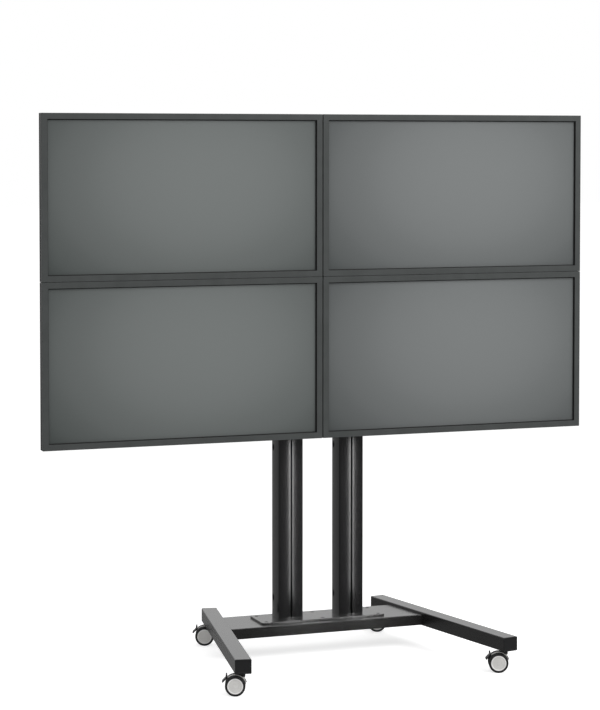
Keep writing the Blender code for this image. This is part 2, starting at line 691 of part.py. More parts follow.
def housing_mesh():
    """The swivelling body: a web between the wheels, a hood and a fin over them, the stem's boss and the axle."""
    trail = CASTER_TRAIL
    boss_top = BOSS_TOP - AXLE_HEIGHT
    web = cylinder("housing", WEB_RADIUS, (0, -WEB_HALF_THICKNESS, 0), (0, WEB_HALF_THICKNESS, 0), 24)
    hood = prism("hood", [ring_part(*HOOD_RADII, 14)], -HOOD_HALF_WIDTH, HOOD_HALF_WIDTH, "Y")
    spine_outline = ring_part(WEB_RADIUS - 2 * MM, HOOD_RADII[0] + 1 * MM, 8, SPINE_DRAWN_IN)
    spine = prism("spine", [spine_outline], -SPINE_HALF_THICKNESS, SPINE_HALF_THICKNESS, "Y")
    fin_outline = ring_part(HOOD_RADII[0] + 0.3 * MM, FIN_RADIUS, 12, FIN_DRAWN_IN)
    fin = prism("fin", [fin_outline], -FIN_HALF_THICKNESS, FIN_HALF_THICKNESS, "Y")
    boss = cylinder("boss", BOSS_RADIUS, (trail, 0, 0), (trail, 0, boss_top), 20)
    steps = [("UNION", spine), ("UNION", hood), ("UNION", fin), ("UNION", boss), *ear_steps()]
    for side in (-1, 1):
        near = side * (WEB_HALF_THICKNESS + 0.2 * MM)
        far = side * 2 * WHEEL_OUTER_FACE
        space = cylinder("wheel_space", WHEEL_SPACE_RADIUS, (0, near, 0), (0, far, 0), 36)
        steps.append(("DIFFERENCE", space))
    collar_radius = STEM_COLLAR_RADIUS + STEM_COLLAR_PLAY
    collar_bottom = boss_top + 0.05 * MM  # a little above the boss, so that the faces don't coincide
    collar_space = cylinder("collar_space", collar_radius, (trail, 0, collar_bottom), (trail, 0, 2 * boss_top))
    bore = cylinder("bore", STEM_HOLE_RADIUS, (trail, 0, boss_top - BOSS_BORE_DEPTH), (trail, 0, 2 * boss_top), 16)
    pivot_x, pivot_z = PEDAL_PIVOT
    past = 2 * WEB_HALF_THICKNESS
    pin_hole = cylinder("pin_hole", EAR_HOLE_RADIUS, (pivot_x, -past, pivot_z), (pivot_x, past, pivot_z), 12)
    axle = cylinder("axle", AXLE_RADIUS, (0, -AXLE_HALF_LENGTH, 0), (0, AXLE_HALF_LENGTH, 0), 16)
    steps += [("DIFFERENCE", collar_space), ("DIFFERENCE", bore), ("DIFFERENCE", pin_hole), ("UNION", axle)]
    mesh = shaped("housing", web, steps)
    mesh.transform(Matrix.Translation((-trail, 0, 0)))
    return mesh


def ear_steps():
    """The round ear that holds the pedal's pin, and the neck that joins it to the web."""
    pivot_x, pivot_z = PEDAL_PIVOT
    half = WEB_HALF_THICKNESS - 0.2 * MM
    ear = cylinder("ear", EAR_RADIUS, (pivot_x, -half, pivot_z), (pivot_x, half, pivot_z), 16)
    neck_half = half - 1 * MM
    neck_top = math.hypot(pivot_x, pivot_z) - 2.5 * MM
    neck = box("neck", (-2.6 * MM, -neck_half, WEB_RADIUS - 2 * MM), (2.6 * MM, neck_half, neck_top))
    neck.transform(Matrix.Rotation(math.atan2(pivot_x, pivot_z), 4, "Y"))
    return [("UNION", neck), ("UNION", ear)]


def paddle_outline(tip):
    """A bar with a round end, from the pedal's pivot to a tip, both given from the axle."""
    pivot = Vector(PEDAL_PIVOT)
    reach = (Vector(tip) - pivot).length
    angle = math.atan2(tip[1] - pivot.y, tip[0] - pivot.x)
    half = PEDAL_THICKNESS / 2
    bar = arc((reach - half, 0), half, -math.pi / 2, math.pi / 2, 6) + [(0, half), (0, -half)]
    turn = Matrix.Rotation(angle, 2)
    return [tuple(turn @ Vector(point)) for point in bar]


def pedal_mesh():
    """The brake's two paddles and their pin. The origin is on the pin's axis."""
    wide = PEDAL_HALF_WIDTH
    lower = prism("pedal", [paddle_outline(PEDAL_LOWER_TIP)], -wide, wide, "Y")
    upper = prism("upper_paddle", [paddle_outline(PEDAL_UPPER_TIP)], -wide, wide, "Y")
    hub = cylinder("pedal_hub", PEDAL_HUB_RADIUS, (0, -wide, 0), (0, wide, 0), 16)
    half = WEB_HALF_THICKNESS + 0.4 * MM
    slot = cylinder("slot", PEDAL_SLOT_RADIUS, (0, -half, 0), (0, half, 0), 24)
    pin = cylinder("pin", PEDAL_PIN_RADIUS, (0, -wide + 1 * MM, 0), (0, wide - 1 * MM, 0), 12)
    return shaped("pedal", lower, [("UNION", upper), ("UNION", hub), ("DIFFERENCE", slot), ("UNION", pin)])


def stem_mesh():
    """The stud that holds a caster in its leg, with its collar and nut. The origin is at floor level."""
    leg_bottom = LEG_TOP - LEG_HEIGHT
    pin_bottom = BOSS_TOP - BOSS_BORE_DEPTH + 0.5 * MM
    collar = cylinder("stem", STEM_COLLAR_RADIUS, (0, 0, STEM_COLLAR_BOTTOM), (0, 0, leg_bottom - GAP), 20)
    stud = cylinder("stud", STEM_RADIUS, (0, 0, pin_bottom), (0, 0, STEM_TOP), 16)
    nut_bottom = leg_bottom + LEG_WALL + GAP
    nut = cylinder("nut", STEM_NUT_RADIUS, (0, 0, nut_bottom), (0, 0, nut_bottom + STEM_NUT_HEIGHT), 6)
    return shaped("stem", collar, [("UNION", stud), ("UNION", nut)])


def make_casters():
    meshes = {"stem": stem_mesh(), "housing": housing_mesh(), "wheel": wheel_mesh(), "pedal": pedal_mesh()}
    pivot_x, pivot_z = PEDAL_PIVOT
    for side_name, side in SIDES.items():
        for end_name, end in (("front", -1), ("rear", 1)):
            name = f"{end_name}_{side_name}_caster"
            along = end * (LEG_LENGTH / 2 - CASTER_FROM_LEG_END)
            stem_place = leg_place(side) @ Vector((0, along, 0))
            add_part(f"{name}_stem", meshes["stem"], collar_black, stem_place)
            swivel_place = (stem_place.x, stem_place.y, AXLE_HEIGHT)
            housing = add_part(f"{name}_housing", meshes["housing"], caster_grey, swivel_place, CASTER_TURN)
            axle = (-CASTER_TRAIL, 0, 0)
            add_part(f"{name}_wheel_fore", meshes["wheel"], tyre_black, axle, 0, housing)
            add_part(f"{name}_wheel_aft", meshes["wheel"], tyre_black, axle, math.pi, housing)
            pedal_place = (-CASTER_TRAIL + pivot_x, 0, pivot_z)
            add_part(f"{name}_pedal", meshes["pedal"], pedal_black, pedal_place, 0, housing)


clear_scene()
parts = new_collection("mobile_video_wall_stand")
cutters = new_collection("cutters")

powder_coat = new_finish("powder_coat", (0.035, 0.034, 0.033), 0.4)
cap_plastic = new_finish("cap_plastic", (0.018, 0.018, 0.02), 0.5)
column_black = new_finish("column_black", (0.03, 0.03, 0.032), 0.35, 0.4)
rail_steel = new_finish("rail_steel", (0.025, 0.025, 0.027), 0.45, 0.3)
arm_steel = new_finish("arm_steel", (0.03, 0.03, 0.033), 0.45, 0.3)
bezel_grey = new_finish("bezel_grey", (0.075, 0.08, 0.08), 0.4)
screen_glass = new_finish("screen_glass", (0.13, 0.15, 0.15), 0.3)
cover_black = new_finish("cover_black", (0.02, 0.02, 0.022), 0.55)
collar_black = new_finish("collar_black", (0.015, 0.015, 0.016), 0.4)
caster_grey = new_finish("caster_grey", (0.5, 0.5, 0.49), 0.35)
tyre_black = new_finish("tyre_black", (0.012, 0.012, 0.013), 0.6)
pedal_black = new_finish("pedal_black", (0.012, 0.012, 0.013), 0.5)

make_cross_member()
make_legs()
make_base_plate()
make_columns()
make_rows()
make_casters()
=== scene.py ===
# The looks of a mobile video wall stand: four dark displays on twin columns, over a splayed base.
# Metres, +Z up. +X is to the right of someone facing the screens, and +Y is behind them.

import json
import math

import bmesh
import bpy
from mathutils import Matrix, Vector


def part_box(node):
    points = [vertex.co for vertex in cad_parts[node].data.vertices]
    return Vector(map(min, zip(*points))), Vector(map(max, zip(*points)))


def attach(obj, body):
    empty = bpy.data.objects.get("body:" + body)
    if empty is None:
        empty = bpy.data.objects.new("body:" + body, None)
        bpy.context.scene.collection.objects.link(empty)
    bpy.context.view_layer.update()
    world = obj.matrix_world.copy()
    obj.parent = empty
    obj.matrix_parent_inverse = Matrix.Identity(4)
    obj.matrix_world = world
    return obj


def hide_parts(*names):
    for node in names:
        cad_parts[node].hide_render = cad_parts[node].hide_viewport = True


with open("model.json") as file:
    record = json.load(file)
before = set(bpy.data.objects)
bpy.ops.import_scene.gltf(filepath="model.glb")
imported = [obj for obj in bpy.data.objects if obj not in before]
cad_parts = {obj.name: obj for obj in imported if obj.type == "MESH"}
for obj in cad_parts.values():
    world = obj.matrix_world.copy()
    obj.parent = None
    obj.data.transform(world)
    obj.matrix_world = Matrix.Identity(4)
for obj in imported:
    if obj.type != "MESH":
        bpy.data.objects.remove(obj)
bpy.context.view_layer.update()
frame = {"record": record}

MM = 0.001
SMOOTH_ANGLE = math.radians(32)
THIN_EDGE_ANGLE = math.radians(60)  # on plates, edges sharper than this are rounded
SIDES = {"left": -1, "right": 1}
ENDS = {"front": -1, "rear": 1}
ROWS = ("lower", "upper")

# Camera: a long lens to the left of the stand, a little above the middle of the displays
CAMERA_PLACE = (-3.0017, -7.7460, 1.8986)
CAMERA_YAW = math.radians(20.43)
CAMERA_PITCH = math.radians(2.61)
CAMERA_LENS = 114.84
CAMERA_SENSOR = 36  # the frame's height, in millimetres as the lens is
CAMERA_SHIFT = -0.1485

# Displays
BEZEL_WIDTH = 22 * MM
BEZEL_LIP = 10 * MM
BEZEL_WALL = 3 * MM
BEZEL_EDGE = 1.2 * MM
# The gasket's strip against the panel is a real dark gasket; its black lining of the opening's inner wall
# is painted shade for the recess wall.
GASKET_AND_SHADE_SECTION = (  # inset, and depth behind the bezel's face, both in millimetres
    (22.05, 1.2), (22.55, 1.4), (22.55, 9.5), (25.05, 9.5), (25.05, 10.2), (22.05, 10.2),
)
DISPLAY_CORNER = 2 * MM
COVER_EDGE = 4 * MM
COVER_WALL = 4 * MM
COVER_BACK = 3 * MM
COVER_SCREWS_X = (-0.47, -0.2, 0.2, 0.47)  # shares of the cover's width and height from its middle
COVER_SCREWS_Z = (-0.46, 0.46)
VENT_SIZE = (3.2 * MM, 30 * MM)
VENT_PITCH = 8 * MM
VENT_COUNT = 34
VENT_DEPTH = 1.8 * MM
VENT_BANKS = (-0.27, 0.27)  # shares of the cover's width
VENTS_BELOW_TOP = (62 * MM, 98 * MM)
VENTS_ABOVE_BOTTOM = 30 * MM
GROOVE_BELOW_TOP = 128 * MM
GROOVE_ABOVE_BOTTOM = 56 * MM
POCKET_DEPTH = 12 * MM
POCKET_WALL = 1.5 * MM
SOCKET_POCKET = (210 * MM, 34 * MM)
POWER_POCKET = (56 * MM, 34 * MM)
POCKETS = ((-120 * MM, SOCKET_POCKET), (90 * MM, POWER_POCKET))  # their places from the display's middle
POCKETS_HEIGHT = 95 * MM  # above the display's lower edge
SOCKETS = (  # width, height, rounding of the corners, and the space after it, all in millimetres
    (15, 5.5, 1.6, 7), (15, 5.5, 1.6, 7), (17, 6, 1.2, 7),
    (31, 9, 3, 8), (15, 12, 0.8, 6), (13, 5.5, 0.6, 7),
)
SOCKETS_START = -92 * MM
SOCKET_REACH = 3.2 * MM
JACK_SECTION = ((2, 0), (3.6, 0), (3.6, 3.4), (2, 3.4))  # radius and reach, in millimetres
JACK_COUNT = 3
JACK_PITCH = 12 * MM
POWER_PIN = ((-1, 0, -2), (1, 5, 2))  # the corners of a pin, in millimetres
POWER_PINS = ((-7, 0, -1.5), (0, 0, 2.5), (7, 0, -1.5))  # the pins' places, in millimetres

# Columns
COLUMN_HALF_SIZE = (48 * MM, 40 * MM)
COLUMN_CORNER_RADIUS = 5 * MM
COLUMN_BULGE = 2 * MM
COLUMN_WALL = 3.5 * MM
SLOT_MOUTH = 8.2 * MM
SLOT_LIP = 3 * MM
SLOT_CHANNEL_WIDTH = 16 * MM
SLOT_CHANNEL_DEPTH = 7 * MM
SLOT_WALL = 2.5 * MM
SLOT_ROUNDING = 0.3 * MM
COLUMN_LID_SECTION = (  # inset, and height above the column, both in millimetres
    (0, 0.3), (0, 2.9), (0.3, 3.6), (1.1, 4), (6, 4), (6.8, 3.4),
)
COLUMN_PLUG = ((-27, -26, -10), (27, 26, 0.2))  # its corners, in millimetres
CABLE_HOLE_RADIUS = 12 * MM
CABLE_HOLE_BACK = 20 * MM
CABLE_HOLE_HEIGHTS = (206 * MM, 773 * MM)

# Base
LEG_SPLAY = math.radians(10.5)
LEG_LENGTH = 888 * MM
LEG_WIDTH = 58 * MM
LEG_HEIGHT = 51 * MM
LEG_WALL = 2.5 * MM
LEG_CORNER = 3 * MM
LEG_CAP_THICKNESS = 4 * MM
LEG_CAP_SECTION = (  # inset, and place along the leg from its tube's end, both in millimetres
    (2.9, 12), (2.9, 0.2), (0, -0.3), (0, -3.1), (0.3, -3.7), (0.9, -4), (4, -4), (4.8, -3.2),
)
STEM_ALONG_LEG = LEG_LENGTH / 2 - 40 * MM
PLATE_CORNER = 12 * MM
PLATE_HOLES_X = (-225 * MM, 0.0, 225 * MM)
PLATE_HOLES_Y = (-55 * MM, 55 * MM)
PLATE_HOLE_RADIUS = 5 * MM
PLATE_SCREW_DEPTH = 1.8 * MM  # its head lies that far below the plate's top
CROSS_WALL = 3 * MM

# Rails, and the clamps and arms that hold on to them
RAIL_THICKNESS = 3 * MM
RAIL_BEND = 1.2 * MM
RAIL_FLANGE = 12 * MM
RAIL_SHELF = 4 * MM
RAIL_SLOT_SIZE = (60 * MM, 9 * MM)
RAIL_SLOT_PITCH = 90 * MM
RAIL_SLOT_ROWS = (-18 * MM, 18 * MM)
RAIL_BOLTS = (-30 * MM, 0.0, 30 * MM)
CLAMP_THICKNESS = 10 * MM
CLAMP_KEY_HALF_HEIGHT = 30 * MM
KEY_PLAY = 0.4 * MM
ARM_DEPTH = 10.7 * MM  # the hook reaches further back
ARM_WALL = 2.5 * MM
ARM_BEND = 1.5 * MM
ARM_HOLES = (-0.40, -0.28, -0.12, 0.02, 0.40)  # shares of its height from its middle
ARM_SCREWS = (-200 * MM, -100 * MM, 100 * MM, 200 * MM)
HOOK_PLAY = 0.6 * MM
HOOK_BAR_HEIGHT = 5 * MM

# Casters: heights are counted from the floor, and the rest from the axle
CASTER_TURN = math.radians(-20)
CASTER_TRAIL = 22 * MM
WHEEL_INNER_FACE = 6.2 * MM
WHEEL_OUTER_FACE = 27 * MM
HUB_RADIUS = 27.4 * MM
WEB_RADIUS = 32.5 * MM
WEB_HALF_THICKNESS = 5 * MM
WHEEL_SPACE_RADIUS = 36.7 * MM
HOOD_ANGLES = (math.radians(12), math.radians(131))
HOOD_HALF_WIDTH = 16 * MM
HOOD_RADII = (37.2 * MM, 38.8 * MM)
FIN_RADII = (38.5 * MM, 41 * MM)
FIN_HALF_THICKNESS = 2.5 * MM
BOSS_RADIUS = 12 * MM
BOSS_TOP = 74.4 * MM
BOSS_BORE_DEPTH = 5 * MM
STEM_RADIUS = 5 * MM
STEM_HOLE_RADIUS = 5.4 * MM
COLLAR_RADIUS = 13 * MM
COLLAR_BOTTOM = 74.8 * MM
COLLAR_PLAY = 0.8 * MM
SWIVEL_RING_BOTTOM = 65 * MM
HUB_RIM_RADIUS = 23.5 * MM
HUB_RIM_DEPTH = 1.5 * MM
HUB_RELIEF = (  # radius, and depth below the tyre's face, both in millimetres
    (0, 1.2), (6, 1.3), (8.4, 1.6), (9, 2.3), (10, 2.3), (10.6, 1.7), (16.4, 1.6), (16.9, 1.9),
    (17.9, 1.9), (18.4, 1.6), (23.3, 1.7), (24, 1.2), (24.6, 0.3), (25.4, 0), (26.5, 0.1),
)
PEDAL_PIVOT = (-30 * MM, 27.5 * MM)
PEDAL_TIPS = ((-45.5 * MM, 11.5 * MM), (-31 * MM, 39.5 * MM))
PEDAL_THICKNESS = 5.0 * MM
PEDAL_HUB_RADIUS = 3.4 * MM
PEDAL_HALF_WIDTH = 15 * MM
PEDAL_SLOT_RADIUS = 7 * MM
EAR_RADIUS = 4.6 * MM
EAR_HALF_WIDTH = 4.8 * MM
PIN_RADIUS = 1.5 * MM
AXLE_RADIUS = 4 * MM
AXLE_HALF_LENGTH = 24 * MM
ROD_EDGE = 0.4 * MM

joints = frame["record"]["behaviour"]["joints"]
AXLE_HEIGHT = next(joint["pos_m"][2] for joint in joints if joint["name"].endswith("_spin"))


def in_metres(rows):
    """Rows of numbers given in millimetres."""
    return [tuple(value * MM for value in row) for row in rows]


# Outlines, as lists of flat points

def arc(centre, radius, start, end, steps):
    """Points along an arc, both ends included."""
    angles = [start + (end - start) * i / steps for i in range(steps + 1)]
    return [(centre[0] + radius * math.cos(a), centre[1] + radius * math.sin(a)) for a in angles]


def circle(radius, steps):
    return arc((0, 0), radius, 0, 2 * math.pi * (steps - 1) / steps, steps - 1)


def rounded_rectangle(width, height, radius, steps=4):
    outline = []
    for quarter in range(4):
        sign_u = (1, -1, -1, 1)[quarter]
        sign_v = (1, 1, -1, -1)[quarter]
        centre = (sign_u * (width / 2 - radius), sign_v * (height / 2 - radius))
        outline += arc(centre, radius, quarter * math.pi / 2, (quarter + 1) * math.pi / 2, steps)
    return outline


def drawn_in(width, height, corner, least, steps=4):
    """A rounded rectangle that takes how far it is drawn in, and keeps a least radius at its corners."""
    def outline(inset):
        return rounded_rectangle(width - 2 * inset, height - 2 * inset, max(corner - inset, least), steps)
    return outline


def turned_back(point, quarter):
    u, v = point
    for _ in range(quarter % 4):
        u, v = -v, u
    return u, v


def slot_outline(face):
    """A slot with a narrow mouth and small roundings, cut into a face at that distance from the middle."""
    mouth = SLOT_MOUTH / 2
    channel = SLOT_CHANNEL_WIDTH / 2
    lip = face - SLOT_LIP
    floor = lip - SLOT_CHANNEL_DEPTH
    edge = arc((face - SLOT_ROUNDING, -mouth - SLOT_ROUNDING), SLOT_ROUNDING, 0, math.pi / 2, 3)
    lower = edge + [(lip, -mouth), (lip, -channel), (floor, -channel)]
    return lower + [(u, -v) for u, v in reversed(lower)]


def column_outline(inset, slots=False):
    """The columns' section, or the same shape drawn in by inset."""
    radius = max(COLUMN_CORNER_RADIUS - inset, 0.6 * MM)
    outline = []
    for quarter in range(4):
        reach = COLUMN_HALF_SIZE[quarter % 2] - inset
        across = COLUMN_HALF_SIZE[1 - quarter % 2]
        corner = across - COLUMN_CORNER_RADIUS
        face_radius = (corner**2 + COLUMN_BULGE**2) / (2 * COLUMN_BULGE)
        sweep = math.asin((corner - 1 * MM) / face_radius)
        face = arc((reach + COLUMN_BULGE - face_radius, 0), face_radius, -sweep, sweep, 24)
        if slots and quarter % 2 == 1:
            face = [point for point in face if abs(point[1]) > SLOT_MOUTH / 2 + 1 * MM]
            split = len(face) // 2
            face[split:split] = slot_outline(reach + COLUMN_BULGE)
        rounding_middle = (reach - radius, across - inset - radius)
        rounding = arc(rounding_middle, radius, math.radians(8), math.radians(82), 6)
        outline += [turned_back(point, quarter) for point in face + rounding]
    return outline


def column_cavity():
    """The hollow inside a column, which narrows behind its slots."""
    front = COLUMN_HALF_SIZE[1] + COLUMN_BULGE
    wall = front - SLOT_LIP - SLOT_CHANNEL_DEPTH - SLOT_WALL
    half = SLOT_CHANNEL_WIDTH / 2 + SLOT_WALL
    side = COLUMN_HALF_SIZE[0] - COLUMN_WALL
    back = front - COLUMN_WALL - COLUMN_BULGE
    quarter = [(side, 0), (side, back), (half, back), (half, wall)]
    right = [(u, -v) for u, v in reversed(quarter[1:])] + quarter
    return right + [(-u, -v) for u, v in right]


# Mesh helpers. Most of them return a bmesh

def raised(u, v, along, axis):
    """A point of a flat shape, raised along an axis."""
    return {"X": (along, u, v), "Y": (u, along, v), "Z": (u, v, along)}[axis]


def prism(outlines, low, high, axis="Z"):
    """Closed outlines, the first one solid and the others holes in it, drawn out along an axis."""
    bm = bmesh.new()
    edges = []
    for outline in outlines:
        verts = [bm.verts.new(raised(u, v, low, axis)) for u, v in outline]
        edges += [bm.edges.new(pair) for pair in zip(verts, verts[1:] + verts[:1])]
    if len(outlines) == 1:
        bm.faces.new(verts)
    else:
        bmesh.ops.triangle_fill(bm, use_beauty=True, use_dissolve=False, edges=edges)
    extruded = bmesh.ops.extrude_face_region(bm, geom=bm.faces[:])
    far = [item for item in extruded["geom"] if isinstance(item, bmesh.types.BMVert)]
    bmesh.ops.translate(bm, verts=far, vec=raised(0, 0, high - low, axis))
    bmesh.ops.recalc_face_normals(bm, faces=bm.faces)
    return bm


def rod(radius, steps, low, high, axis="Z"):
    return prism([circle(radius, steps)], low, high, axis)


def box(low, high, rounding=0.0, segments=2):
    bm = bmesh.new()
    size = Vector(high) - Vector(low)
    place = Matrix.Translation((Vector(low) + Vector(high)) / 2) @ Matrix.Diagonal((*size, 1))
    bmesh.ops.create_cube(bm, size=1, matrix=place)
    if rounding:
        round_edges(bm, rounding, segments)
    return bm


def round_edges(bm, width, segments=2, chosen=None, angle=math.radians(30)):
    """Rounds the edges sharper than an angle, or those of them for which chosen(middle) is true."""
    edges = []
    for edge in bm.edges:
        middle = (edge.verts[0].co + edge.verts[1].co) / 2
        if edge.calc_face_angle(0) >= angle and (chosen is None or chosen(middle)):
            edges.append(edge)
    shape = {"segments": segments, "profile": 0.5, "affect": "EDGES", "clamp_overlap": True}
    bmesh.ops.bevel(bm, geom=edges, offset=width, **shape)
    return bm


def skinned(rings, closed=False, capped=False):
    """Quads between rings of points. The last ring may join the first, or both ends may be filled."""
    bm = bmesh.new()
    rows = [[bm.verts.new(point) for point in ring] for ring in rings]
    pairs = list(zip(rows, rows[1:]))
    if closed:
        pairs.append((rows[-1], rows[0]))
    for lower, upper in pairs:
        for i in range(len(lower)):
            following = (i + 1) % len(lower)
            bm.faces.new((lower[i], lower[following], upper[following], upper[i]))
    if capped:
        bm.faces.new(rows[0])
        bm.faces.new(rows[-1])
    bmesh.ops.recalc_face_normals(bm, faces=bm.faces)
    return bm


def turned(profile, segments=48, closed=False, axis="Z"):
    """A profile of (radius, distance along the axis) points swept round an axis."""
    rings = [[raised(u, v, along, axis) for u, v in circle(radius, segments)] for radius, along in profile]
    bm = skinned(rings, closed)
    if not closed:
        # A ring at the axis closes to a point
        bmesh.ops.remove_doubles(bm, verts=bm.verts, dist=1e-7)
        bmesh.ops.recalc_face_normals(bm, faces=bm.faces)
    return bm


def rod_profile(radius, low, high, edge, inner=0.0):
    """A rod's profile, or a ring's, with its outer edges bevelled."""
    lower = [(inner, low), (radius - edge, low), (radius, low + edge)]
    return lower + [(radius, high - edge), (radius - edge, high), (inner, high)]


def lofted(section, outline_at, axis="Z", closed=False):
    """An outline at each (inset, distance along the axis) of a section, as a solid or a closed frame."""
    rings = [[raised(u, v, along, axis) for u, v in outline_at(inset)] for inset, along in section]
    return skinned(rings, closed, not closed)


def moved(bm, x=0.0, y=0.0, z=0.0, turn=0.0, tilt=0.0):
    """The same mesh, tilted about Y, turned about Z and then moved."""
    place = Matrix.Translation((x, y, z)) @ Matrix.Rotation(turn, 4, "Z") @ Matrix.Rotation(tilt, 4, "Y")
    bmesh.ops.transform(bm, matrix=place, verts=bm.verts)
    return bm


def mesh_from(bm, name="part"):
    mesh = bpy.data.meshes.new(name)
    bm.to_mesh(mesh)
    bm.free()
    return mesh


def copy_of(mesh):
    bm = bmesh.new()
    bm.from_mesh(mesh)
    return bm


def together(*parts):
    """Several meshes as one, each still its own closed body."""
    result = bmesh.new()
    for part in parts:
        mesh = mesh_from(part)
        result.from_mesh(mesh)
        bpy.data.meshes.remove(mesh)
    return result


def repeated(bm, places):
    """One shape at several places, as one mesh of separate bodies."""
    mesh = mesh_from(bm)
    return together(*[moved(copy_of(mesh), *place) for place in places])


def joined(base, other, operation="UNION"):
    """The base with another shape joined to it or cut from it."""
    objects = [new_object("joining", mesh_from(bm)) for bm in (base, other)]
    boolean = objects[0].modifiers.new("joining", "BOOLEAN")
    boolean.operation = operation
    boolean.object = objects[1]
    bpy.context.view_layer.update()
    graph = bpy.context.evaluated_depsgraph_get()
    mesh = bpy.data.meshes.new_from_object(objects[0].evaluated_get(graph))
    result = copy_of(mesh)
    bpy.data.meshes.remove(mesh)
    for obj in objects:
        old = obj.data
        bpy.data.objects.remove(obj)
        bpy.data.meshes.remove(old)
    return result


def cut(base, *cutters):
    return joined(base, together(*cutters), "DIFFERENCE")


def new_object(name, data):
    obj = bpy.data.objects.new(name, data)
    bpy.context.scene.collection.objects.link(obj)
    return obj


def extent(node_name):
    """A node's lowest and highest corners, and its middle."""
    low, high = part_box(node_name)
    return low, high, (low + high) / 2


def add_piece(name, bm, material, body, *nodes):
    """Shows a mesh as a piece that rides on a body and stands for the CAD nodes named."""
    bmesh.ops.recalc_face_normals(bm, faces=bm.faces)
    mesh = mesh_from(bm, name)
    mesh.shade_smooth()
    mesh.set_sharp_from_angle(angle=SMOOTH_ANGLE)
    mesh.materials.append(material)
    piece = new_object(name, mesh)
    weighted = piece.modifiers.new("weighted_normals", "WEIGHTED_NORMAL")
    weighted.keep_sharp = True
    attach(piece, body)
    if nodes:
        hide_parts(*nodes)
    return piece


# Fasteners, with their heads facing +Z from the origin

def socket_screw(radius, height):
    """A low round head with a hexagonal recess."""
    profile = [(0, 0), (radius, 0), (radius, height * 0.35)]
    profile += [(radius * math.cos(a), height * (0.35 + 0.65 * math.sin(a))) for a in (0.35, 0.7, 1.05)]
    profile += [(radius * 0.45, height), (0, height)]
    return cut(turned(profile, 24), rod(radius * 0.42, 6, height * 0.4, height * 1.5))


def countersunk_screw(radius, depth):
    """A flat head in a cone, with a hexagonal recess; its face is just below the origin."""
    face = -0.3 * MM
    profile = [(0, -depth), (radius * 0.45, -depth)]
    profile += [(radius * 0.92, 2 * face), (radius * 0.9, face), (0, face)]
    return cut(turned(profile, 24), rod(radius * 0.4, 6, -depth * 0.7, 1 * MM))


def hexagon_bolt(across, height):
    """A hexagonal head on a washer."""
    washer = rod(across * 0.85, 32, 0, 1 * MM)
    head = rod(across / math.sqrt(3), 6, 1.05 * MM, height)
    round_edges(head, 0.5 * MM, 2, lambda middle: middle.z > height * 0.9)
    return together(washer, head)


def facing(bm, axis):
    """Turns a fastener that faces +Z to face another way."""
    turns = {"-Y": Matrix.Rotation(math.pi / 2, 4, "X"), "+Y": Matrix.Rotation(-math.pi / 2, 4, "X")}
    bmesh.ops.transform(bm, matrix=turns[axis], verts=bm.verts)
    return bm


# Material helpers

def node(tree, kind, inputs=None, **settings):
    """A shader node with some settings, and with values or other nodes' outputs on its inputs."""
    made = tree.nodes.new(f"ShaderNode{kind}")
    for key, value in settings.items():
        setattr(made, key, value)
    for key, value in (inputs or {}).items():
        if isinstance(value, bpy.types.NodeSocket):
            tree.links.new(value, made.inputs[key])
        else:
            made.inputs[key].default_value = value
    return made


def output(tree, kind, inputs=None, **settings):
    """The first output of such a node."""
    return node(tree, kind, inputs, **settings).outputs[0]


def maths(tree, operation, first, second):
    return output(tree, "Math", {0: first, 1: second}, operation=operation)


def mixed(tree, share, first, second):
    """A shader that goes from the first to the second as the share goes from 0 to 1."""
    return output(tree, "MixShader", {0: share, 1: first, 2: second})


def grain(tree, scale, detail=2.0, stretch=(1, 1, 1)):
    """Noise in the object's own coordinates; its size is 1 / scale metres."""
    place = node(tree, "TexCoord").outputs["Object"]
    stretched = output(tree, "Mapping", {"Vector": place, "Scale": stretch})
    return output(tree, "TexNoise", {"Vector": stretched, "Scale": scale, "Detail": detail})


def between(tree, value, low, high, from_low=0.3, from_high=0.7):
    """The value led from one range to another."""
    ranges = {"From Min": from_low, "From Max": from_high, "To Min": low, "To Max": high}
    return output(tree, "MapRange", {"Value": value, **ranges})


def run_of(tree, value, colours, low=0.0, high=1.0, interpolation="LINEAR"):
    """A colour that runs through several, evenly spaced, as the value goes from low to high."""
    made = node(tree, "ValToRGB", {"Fac": value})
    made.color_ramp.interpolation = interpolation
    elements = made.color_ramp.elements
    while len(elements) < len(colours):
        elements.new(0.5)
    for i, colour in enumerate(colours):
        elements[i].position = low + (high - low) * i / (len(colours) - 1)
        elements[i].color = (*colour, 1)
    return made.outputs["Color"]


def new_material(name, colour, roughness, specular=0.5, metallic=0.0):
    material = bpy.data.materials.new(f"{name}_finish")
    material.use_nodes = True
    shader = material.node_tree.nodes["Principled BSDF"]
    shader.inputs["Base Color"].default_value = (*colour, 1)
    shader.inputs["Roughness"].default_value = roughness
    shader.inputs["Specular IOR Level"].default_value = specular
    shader.inputs["Metallic"].default_value = metallic
    material.diffuse_color = (*colour, 1)
    return material, material.node_tree, shader


def vary_colour(tree, shader, value, colour, darkest, lightest):
    """Lets noise take the colour from one multiple of it to another."""
    tones = [[channel * factor for channel in colour] for factor in (darkest, lightest)]
    tree.links.new(run_of(tree, value, tones, 0.3, 0.7), shader.inputs["Base Color"])


def vary_gloss(tree, shader, value, low, high):
    """Lets noise take the roughness from one value to another."""
    tree.links.new(between(tree, value, low, high), shader.inputs["Roughness"])


def add_bump(tree, shader, height, strength, distance):
    bump = output(tree, "Bump", {"Height": height, "Strength": strength, "Distance": distance})
    tree.links.new(bump, shader.inputs["Normal"])


